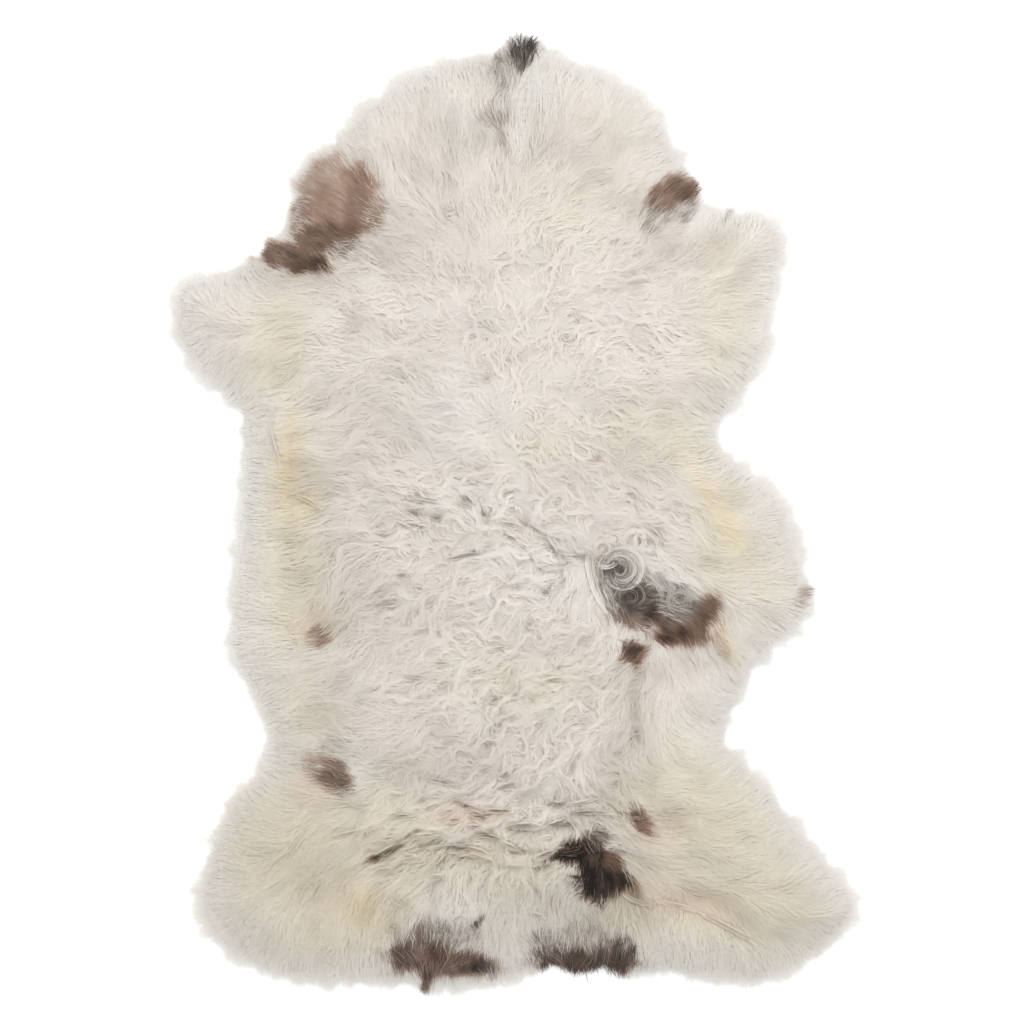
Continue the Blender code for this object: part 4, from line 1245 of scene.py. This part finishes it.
# Locks that lie in rings on the wool: place, x, y, radius at their start and end, width of the lock, degrees
# at their start and end, wisps, darkness
rings = (
    ("swirl, outer", 106.5, -57, 23, 18.5, 5, 150, -95, 30, 0.05),
    ("swirl, outer, grey", 106.5, -57, 20, 16, 3.4, 146, -70, 10, 0.24),
    ("swirl, inner", 106, -56.5, 16, 10.5, 4.2, 138, -100, 22, 0.05),
    ("swirl, inner, grey", 105, -56, 12.5, 9, 2.6, 110, -120, 8, 0.28),
    ("swirl, innermost", 103.5, -56, 8.5, 5, 2.2, 60, -150, 6, 0.25),
    ("swirl, over the crown", 90, -42, 11, 13, 3.6, 215, 330, 10, 0.02),
    ("falls, left", 148, -48, 76, 75, 4, 176, 224, 14, 0.02),
    ("falls, middle", 148, -48, 70, 69, 3, 179, 228, 10, 0.06),
    ("falls, grey", 148, -48, 65.5, 64, 3, 181, 226, 8, 0.26),
    ("dark core", 118, -83, 13.5, 9, 5, 190, -80, 8, 0.36),
    ("dark core, inner", 115, -84, 8, 5, 3.6, 160, -120, 4, 0.5),
    ("strand right of the swirl", 116, -86, 29, 31, 4, 60, -5, 10, 0.16),
    ("strand right of the swirl, grey", 120, -86, 33, 35, 4, 50, 0, 8, 0.3),
    ("grey curl, outer", 164, -88, 11, 9.5, 4.6, 215, -30, 14, 0.22),
    ("grey curl, inner", 164, -88, 6, 5, 3.4, 200, -60, 5, 0.34),
    ("curl above the swirl", 120, -28, 11.5, 8, 4.6, 205, -80, 16, 0.02),
    ("curl above, right", 130, -27, 13, 12, 3.6, 75, -65, 10, 0.03),
    # The grey rings in the curls above the swirl are painted shade, in the hollows of the pale curls
    ("curl above the swirl, grey", 120, -28, 8.5, 6, 2.4, 190, -70, 6, 0.24),
    ("curl above, right, grey", 132.5, -34.5, 8.5, 7, 2.2, 120, -80, 5, 0.24),
    ("curl above, left", 88, -35.5, 7.8, 5.5, 3, 200, -110, 9, 0.02),
    ("curl above, left, grey", 88, -35.5, 5.2, 4, 1.8, 180, -120, 5, 0.22),
    ("curl above, middle", 99, -26.5, 7.5, 5, 2.8, 150, -150, 9, 0.02),
    ("curl above, middle, grey", 99, -26.5, 4.8, 3.6, 1.6, 140, -140, 4, 0.22),
    ("curl, middle back", -26.5, 1, 9, 7, 3, 250, -70, 10, 0.02),
    ("curl, back", -94, 20, 8.5, 6, 2.8, 170, 380, 8, 0.02),
    ("curl, left back", -77.5, -67.5, 7, 5, 2.6, 200, -100, 7, 0.02),
)
# Locks that lie straighter: place, x and y of their root and of their tip, bow, width at root and tip, wisps,
# darkness, warmth
laidLocks = (
    ("neck tuft", 8.5, 445, 6, 479, 0, 8, 16, 16, 0.8, 0.1),
    ("neck tuft, right lobe", 13.5, 447, 22.5, 473.5, 0, 6, 8, 9, 0.8, 0.1),
    ("neck tuft, left streaks", -6, 423, -16.5, 460, 1, 12, 20, 12, 0.2, 0.05),
    ("neck smudge", -11, 377, -30.5, 402, 2, 8, 16, 12, 0.22, 0.2),
    ("neck smudge, tail", -5, 356, -19, 385, 0, 3, 8, 5, 0.2, 0.2),
    ("right cheek, tail", 127, 285, 152, 318, 2, 10, 18, 12, 0.24, 0.15),
    ("right cheek, orange", 140, 312, 169, 340, 0, 12, 18, 16, 0.52, 1),
    ("small spot, left", 103, -125, 114, -133, 1, 4, 6, 9, 0.6, 0.3),
    ("rump patch, arm", 66, -335, 41.5, -338.5, 1, 10, 4, 16, 1, 0.4),
    ("rump patch, toe", 83, -374, 74, -389.5, 1, 10, 4, 8, 0.86, 0.3),
    ("rump patch, left spike", 70, -362, 53.5, -359, 0, 8, 3, 10, 0.88, 0.4),
    ("rump patch, top", 81.5, -337, 75.5, -319.5, 1, 8, 10, 10, 0.6, 0.3),
    ("rump patch, brown", 90, -345, 108, -357, 1, 8, 10, 12, 0.66, 1),
    ("hem, left side", -117, -431, -94, -469, 4, 16, 10, 16, 0.7, 0.6),
    ("hem, left, to the spike", -95, -444, -89.5, -479, 1, 12, 3, 14, 0.7, 0.8),
    ("hem, left, middle", -74.5, -433, -84.5, -468, -1, 22, 14, 12, 0.66, 0.8),
    ("hem, left, right", -44.5, -440, -70.5, -463, -2, 16, 12, 14, 0.74, 0.8),
    ("hem, left, pale curls", -62, -407, -48, -440, 5, 36, 34, 12, 0.2, 0.1),
    ("hem, left, pale curls, left", -98, -407, -93, -434, 4, 28, 26, 7, 0.2, 0.1),
    ("hem, middle tuft", -27, -453, -21.5, -478, 1, 12, 4, 18, 0.26, 0.1),
    ("hem, right, left side", 29, -434, 58, -460, 3, 16, 10, 14, 0.74, 0.5),
    ("hem, right, middle", 71, -438, 62.5, -465, 0, 20, 8, 12, 0.76, 0.7),
    ("hem, right, right lobe", 93.5, -422, 89.5, -458, 1, 18, 16, 12, 0.62, 0.3),
    ("hem, right, pale curls", 45, -402, 66, -442, 4, 32, 32, 10, 0.2, 0.1),
    ("hem, right, pale curls, right", 78, -404, 87, -436, 3, 24, 22, 7, 0.18, 0.1),
)
ringWisp = {"points": 13, "width": 0.00075, "rise": 0.0016, "depth": 0.0016, "wave": 0.0005}
laidWisp = {
    "points": 7,
    "width": 0.00062,
    "rise": 0.0012,      # of its middle over its ends
    "lowest": -0.0014,   # how low and how high its ends lie in the wool
    "highest": 0.0003,
    "wave": 0.0007,
}
lipWisp = {
    "perWidth": 6500,    # wisps in the shade of a lip, for each metre that it reaches
    "underPoints": 5,
    "overPoints": 9,
    "width": 0.00085,
    "underRise": 0.0012,
    "overRise": 0.0016,
    "over": 5,           # pale wisps along the lip
    "band": 0.0014,      # and how wide they lie
    "wave": 0.0003,      # how far a lip's line is wavy
    "waveLength": 0.0010,
}
# Places whose creases get no lip of their own from the creases' table, as the table of lips holds theirs
closerPlaces = ("back", "above the swirl", "left of the swirl", "rump ripple")


def layOn(x, y, rise, width, dark, warm, draw):
    # wisps that lie on the wool along the given lines, with their own darkness
    count = len(x)
    return {
        "line": np.stack([x, y, np.maximum(look(topHeight, x, y) + rise, rimWool["lowest"])], 2),
        "width": width * draw.uniform(0.7, 1.3, count),
        "roll": draw.normal(0, 0.1, count),
        "chance": draw.random(count),
        "stray": np.zeros((count, 2)),
        "ownDark": dark * draw.uniform(0.6, 1.4, (count, 1)) * np.ones(x.shape),
        "ownWarm": np.full(count, warm),
    }


def markedAt(x, y):
    # how dark the marks make the wool
    return look(ink["dark"], x, y) * ease(look(ink["share"], x, y), 0.3, 0.8)


def joined(groups):
    return {key: np.concatenate([group[key] for group in groups]) for key in groups[0]}


def growRings(seed):
    # the wisps of each lock that lies in a ring, side by side along its arc
    draw = np.random.default_rng(seed)
    groups = []
    s = np.linspace(0, 1, ringWisp["points"])[None, :]
    for place, x, y, startRadius, endRadius, width, startDegrees, endDegrees, wisps, dark in rowsOf(rings, 5):
        beside = np.linspace(-1, 1, wisps)[:, None] + draw.normal(0, 0.35, (wisps, 1))
        begin = draw.normal(0, 0.10, (wisps, 1))
        end = 1 + draw.normal(0, 0.12, (wisps, 1))
        t = begin + (end - begin) * s
        turn = np.radians(startDegrees + (endDegrees - startDegrees) * t)
        spread = width / 2 * beside * (0.45 + 0.55 * np.sin(math.pi * s.clip(0.1, 0.8)))
        beat = draw.uniform(0, 6.3, (wisps, 1))
        wave = ringWisp["wave"] * np.sin(beat + s * draw.uniform(5, 12, (wisps, 1)))
        radius = startRadius + (endRadius - startRadius) * t + spread + wave
        level = draw.uniform(-1, 0, (wisps, 1)) * ringWisp["depth"]
        rise = level + ringWisp["rise"] * (np.sin(math.pi * s) ** 0.6 - 0.45)
        px, py = x + radius * np.cos(turn), y + radius * np.sin(turn)
        groups.append(layOn(px, py, rise, ringWisp["width"], dark, 0.1, draw))
    return joined(groups)


def growLaidLocks(seed):
    # the wisps of each straighter lock, from its root to its tip
    draw = np.random.default_rng(seed)
    groups = []
    s = np.linspace(0, 1, laidWisp["points"])[None, :]
    for place, x, y, tipX, tipY, bow, width, tipWidth, wisps, dark, warm in rowsOf(laidLocks, 7):
        length = math.hypot(tipX - x, tipY - y)
        sideX, sideY = (y - tipY) / length, (tipX - x) / length
        beside = draw.normal(0, 0.42, (wisps, 1)).clip(-0.9, 0.9)
        begin = draw.uniform(-0.10, 0.50, (wisps, 1))
        t = begin + (draw.uniform(0.65, 1.08, (wisps, 1)) - begin) * s
        beat = draw.uniform(0, 6.3, (wisps, 1))
        wave = laidWisp["wave"] * np.sin(beat + s * draw.uniform(3, 7, (wisps, 1)))
        aside = beside * (width + (tipWidth - width) * t) + 4 * bow * t * (1 - t) + wave
        px, py = x + (tipX - x) * t + sideX * aside, y + (tipY - y) * t + sideY * aside
        level = draw.uniform(laidWisp["lowest"], laidWisp["highest"], (wisps, 1))
        rise = level + laidWisp["rise"] * np.sin(math.pi * s)
        groups.append(layOn(px, py, rise, laidWisp["width"], dark, warm, draw))
    return joined(groups)


def growLips(seed):
    # pale wisps along each lip, and below them dark wisps of painted shade that are darkest at the lip
    draw = np.random.default_rng(seed)
    rows = list(rowsOf(lips, 6))
    # Each crease of the other places gets a lip of its own, whose dark wisps are painted shade in it
    for place, x, y, halfLength, halfWidth, deep, degrees in rowsOf(creases, 5):
        if place not in closerPlaces:
            turn = math.radians(degrees)
            awayX, awayY = halfLength * math.cos(turn), halfLength * math.sin(turn)
            ends = (x - awayX, y - awayY, x + awayX, y + awayY)
            arch = draw.normal(0, 0.1) * halfLength
            rows.append((place, *ends, arch, 1.5 * halfWidth, 0.08 + 20 * deep, 0.3))
    under, over = [], []
    onward = np.linspace(0, 1, lipWisp["underPoints"])[None, :]
    along = np.linspace(0, 1, lipWisp["overPoints"])[None, :]
    for place, x, y, endX, endY, arch, drop, dark, warm in rows:
        length = math.hypot(endX - x, endY - y)
        sideX, sideY = (endY - y) / length, -(endX - x) / length
        beat = draw.uniform(0, 6.3)

        def onLip(t, beside):
            wave = lipWisp["wave"] * np.sin(beat + t * length / lipWisp["waveLength"])
            beside = beside - 4 * arch * t * (1 - t) + wave
            return x + (endX - x) * t + sideX * beside, y + (endY - y) * t + sideY * beside

        count = max(6, int(drop * lipWisp["perWidth"]))
        below = draw.uniform(0, 1, (count, 1))
        begin = draw.uniform(-0.05, 0.75, (count, 1))
        t = begin + draw.uniform(0.25, 0.60, (count, 1)) * onward
        fade = np.sin(math.pi * t.clip(0, 1)) ** 0.5
        px, py = onLip(t, drop * below * (0.35 + 0.65 * fade))
        shade = np.maximum(dark * fade * (1 - below) ** 0.7, markedAt(px, py))
        under.append(layOn(px, py, lipWisp["underRise"], lipWisp["width"], shade, warm, draw))
        begin = draw.uniform(-0.15, 0.25, (lipWisp["over"], 1))
        stop = draw.uniform(0.75, 1.15, (lipWisp["over"], 1))
        beside = -draw.uniform(0, lipWisp["band"], (lipWisp["over"], 1))
        px, py = onLip(begin + (stop - begin) * along, beside)
        rise = lipWisp["overRise"] * np.sin(math.pi * along) ** 0.5
        shade = np.maximum(0.03, 0.8 * markedAt(px, py))
        over.append(layOn(px, py, rise, 0.9 * lipWisp["width"], shade, 0.3, draw))
    return joined(under), joined(over)


def pileNormals(x, y):
    # which way the top of the pile faces
    step = 0.003
    leanX = (look(pileTop, x + step, y) - look(pileTop, x - step, y)) / (2 * step)
    leanY = (look(pileTop, x, y + step) - look(pileTop, x, y - step)) / (2 * step)
    facing = np.stack([-leanX, -leanY, np.ones(len(x))], 1)
    return facing / np.linalg.norm(facing, axis=1, keepdims=True)


def ribbonMesh(name, groups, material):
    # one mesh of many thin tapered ribbons. A group is the wisps with the same number of points
    corners, along, loops, sizes, uvs, middles, chances, darks, warms = ([] for _ in range(9))
    cells = math.ceil(math.sqrt(sum(len(group["line"]) for group in groups)))
    start, first = 0, 0
    for group in groups:
        line = group["line"]
        count, points = line.shape[:2]
        forward = np.gradient(line, axis=1)
        forward /= np.linalg.norm(forward, axis=2, keepdims=True) + 1e-9
        flat = np.cross(forward, up)
        flat /= np.linalg.norm(flat, axis=2, keepdims=True) + 1e-9
        roll = group["roll"][:, None, None]
        across = flat * np.cos(roll) + np.cross(flat, forward) * np.sin(roll)
        s = np.linspace(0, 1, points)
        taper = np.minimum(1, 0.6 + 1.6 * s) * (1 - s**3) ** 0.9
        half = across * (group["width"][:, None] * taper[None] / 2)[:, :, None]
        sides = np.stack([line - half, line + half], 2)[:, :-1].reshape(count, -1, 3)
        block = np.concatenate([sides, line[:, -1:]], 1)  # two corners a point, then the tip
        size = block.shape[1]
        corners.append(block.reshape(-1, 3))
        alongRing = np.append(np.repeat(s[:-1], 2), 1.0)
        along.append(np.tile(alongRing, count))
        base = start + np.arange(count)[:, None] * size
        quads = np.array([(2 * k + 1, 2 * k + 3, 2 * k + 2, 2 * k) for k in range(points - 2)]).ravel()
        loops.append((base + np.append(quads, (size - 2, size - 1, size - 3))[None]).ravel())
        sizes.append(np.tile(np.append(np.full(points - 2, 4), 3), count))
        # each wisp has a cell of its own in the map
        number = first + np.arange(count)[:, None]
        u = number % cells + 0.08 + 0.84 * alongRing[None]
        v = number // cells + np.append(np.tile([0.75, 0.25], points - 1), 0.5)[None]
        uvs.append(np.stack([u, v], 2).reshape(-1, 2) / cells)
        middles.append(np.repeat(line[:, points // 2, :2] + group["stray"], size, 0))
        chances.append(np.repeat(group["chance"], size))
        own = group["ownDark"]
        darks.append(np.concatenate([np.repeat(own[:, :-1], 2, 1), own[:, -1:]], 1).ravel())
        warms.append(np.repeat(group["ownWarm"], size))
        start += count * size
        first += count
    corners, loops, sizes, middles = (np.concatenate(part) for part in (corners, loops, sizes, middles))
    mesh = bpy.data.meshes.new(name)
    mesh.vertices.add(len(corners))
    mesh.vertices.foreach_set("co", corners.ravel())
    mesh.loops.add(len(loops))
    mesh.loops.foreach_set("vertex_index", loops)
    mesh.polygons.add(len(sizes))
    mesh.polygons.foreach_set("loop_start", np.cumsum(sizes) - sizes)
    mesh.update(calc_edges=True)
    mesh.shade_smooth()
    own = np.empty(len(corners) * 3)
    mesh.vertex_normals.foreach_get("vector", own)
    share = rimWool["normalBlend"]
    facing = (1 - share) * own.reshape(-1, 3) + share * pileNormals(corners[:, 0], corners[:, 1])
    facing /= np.linalg.norm(facing, axis=1, keepdims=True)
    mesh.normals_split_custom_set_from_vertices(facing)
    layer = mesh.uv_layers.new(name="OFBake")
    layer.uv.foreach_set("vector", np.concatenate(uvs)[loops].astype(np.float32).ravel())
    chances, along, darks, warms = (np.concatenate(part) for part in (chances, along, darks, warms))
    addColours(mesh, corners, middles, chances, along, darks, warms)
    mesh.materials.append(material)
    piece = bpy.data.objects.new(name, mesh)
    bpy.context.scene.collection.objects.link(piece)
    return piece, int((sizes - 2).sum())


def makeWool(material):
    # all the long wool, in five meshes
    wisps = [growWisps(curly, 5), growWisps(soft, 6), growWisps(fluff, 7)]
    wisps += [growRings(8), growLaidLocks(10), *growLips(9)]
    cost = np.concatenate([np.full(len(group["line"]), 2 * group["line"].shape[1] - 3) for group in wisps])
    where = np.concatenate([group["line"][:, 0, 1] for group in wisps])
    order = np.argsort(-where)
    share = np.cumsum(cost[order]) / cost.sum()
    bands = ("neck wool", "shoulder wool", "back wool", "rump wool", "hind wool")
    # bands from neck to hind legs, each with as many triangles
    limits = [where[order][np.searchsorted(share, (k + 1) / len(bands)) - 1] for k in range(len(bands) - 1)]
    edges = [math.inf, *limits, -math.inf]
    made = []
    for k, name in enumerate(bands):
        groups = []
        for group in wisps:
            root = group["line"][:, 0, 1]
            chosen = (root <= edges[k]) & (root > edges[k + 1])
            if chosen.any():
                groups.append({key: value[chosen] for key, value in group.items()})
        piece, triangles = ribbonMesh(name.replace(" ", "-"), groups, material)
        print(name, [len(group["line"]) for group in groups], "wisps,", triangles, "triangles")
        made.append(piece)
    return made


pastAt = rimWool["past"] + rimWool["pastTufts"] * cloudy(rimWool["tuftSize"], 21)
for place, x, y, reach, outwards in rowsOf(rimStandsOut, 4):
    pastAt += outwards * around(x, y, reach)
longWool = makeWoolMaterial("long wool", woolColour)
hidePiece = makeHide()
print("hide", len(hidePiece.data.polygons), "faces")
underPiece = makeUnderwool(longWool)
print("underwool", len(underPiece.data.polygons), "faces")
woolPieces = makeWool(longWool)

for piece in (hidePiece, underPiece, *woolPieces):
    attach(piece, "root")
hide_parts("sheepskin")

hidePlaces = coordinatesOf(hidePiece.data)


studio = {
    "floorSize": 12.0,
    "floorDrop": 0.0002,      # below the hide, so that the two don't touch
    "floorColour": (0.96, 0.96, 0.96),
    "sky": 1.05,
    "key": 36.0,
    "keySize": 2.4,
    "keyPlace": (0.5, 1.6, 2.4),
    "lens": 100.0,
    "sensor": 36.0,
    "frameWidth": 1.024,      # metres across the picture at the wool's middle height
    "frameHeight": 0.020,
    "frameMiddle": (-0.0025, 0.001),
}


def makeStage():
    # a white floor, a soft sky, one broad lamp and a camera that looks straight down
    bpy.ops.object.select_all(action="DESELECT")
    bpy.ops.mesh.primitive_plane_add(size=studio["floorSize"], location=(0, 0, -studio["floorDrop"]))
    floor = bpy.context.active_object
    floor.name = "floor"
    material, tree = newMaterial("plain floor")
    shader = tree.nodes["Principled BSDF"]
    shader.inputs["Base Color"].default_value = (*studio["floorColour"], 1.0)
    shader.inputs["Roughness"].default_value = 0.9
    shader.inputs["Specular IOR Level"].default_value = 0.0
    floor.data.materials.append(material)

    scene = bpy.context.scene
    world = bpy.data.worlds.new("soft sky")
    world.use_nodes = True
    world.node_tree.nodes["Background"].inputs["Color"].default_value = (1, 1, 1, 1)
    world.node_tree.nodes["Background"].inputs["Strength"].default_value = studio["sky"]
    scene.world = world
    lamp = bpy.data.lights.new("key", "AREA")
    lamp.energy = studio["key"]
    lamp.size = studio["keySize"]
    key = bpy.data.objects.new("key", lamp)
    key.location = studio["keyPlace"]
    direction = -key.location
    key.rotation_euler = direction.to_track_quat("-Z", "Y").to_euler()
    scene.collection.objects.link(key)

    lens = bpy.data.cameras.new("camera")
    lens.lens = studio["lens"]
    lens.sensor_width = studio["sensor"]
    camera = bpy.data.objects.new("camera", lens)
    distance = studio["frameWidth"] * studio["lens"] / studio["sensor"]
    camera.location = (*studio["frameMiddle"], studio["frameHeight"] + distance)
    scene.collection.objects.link(camera)
    scene.camera = camera
    scene.view_settings.view_transform = "Standard"
    scene.view_settings.look = "None"
    scene.cycles.max_bounces = 12
    scene.cycles.diffuse_bounces = 8


makeStage()
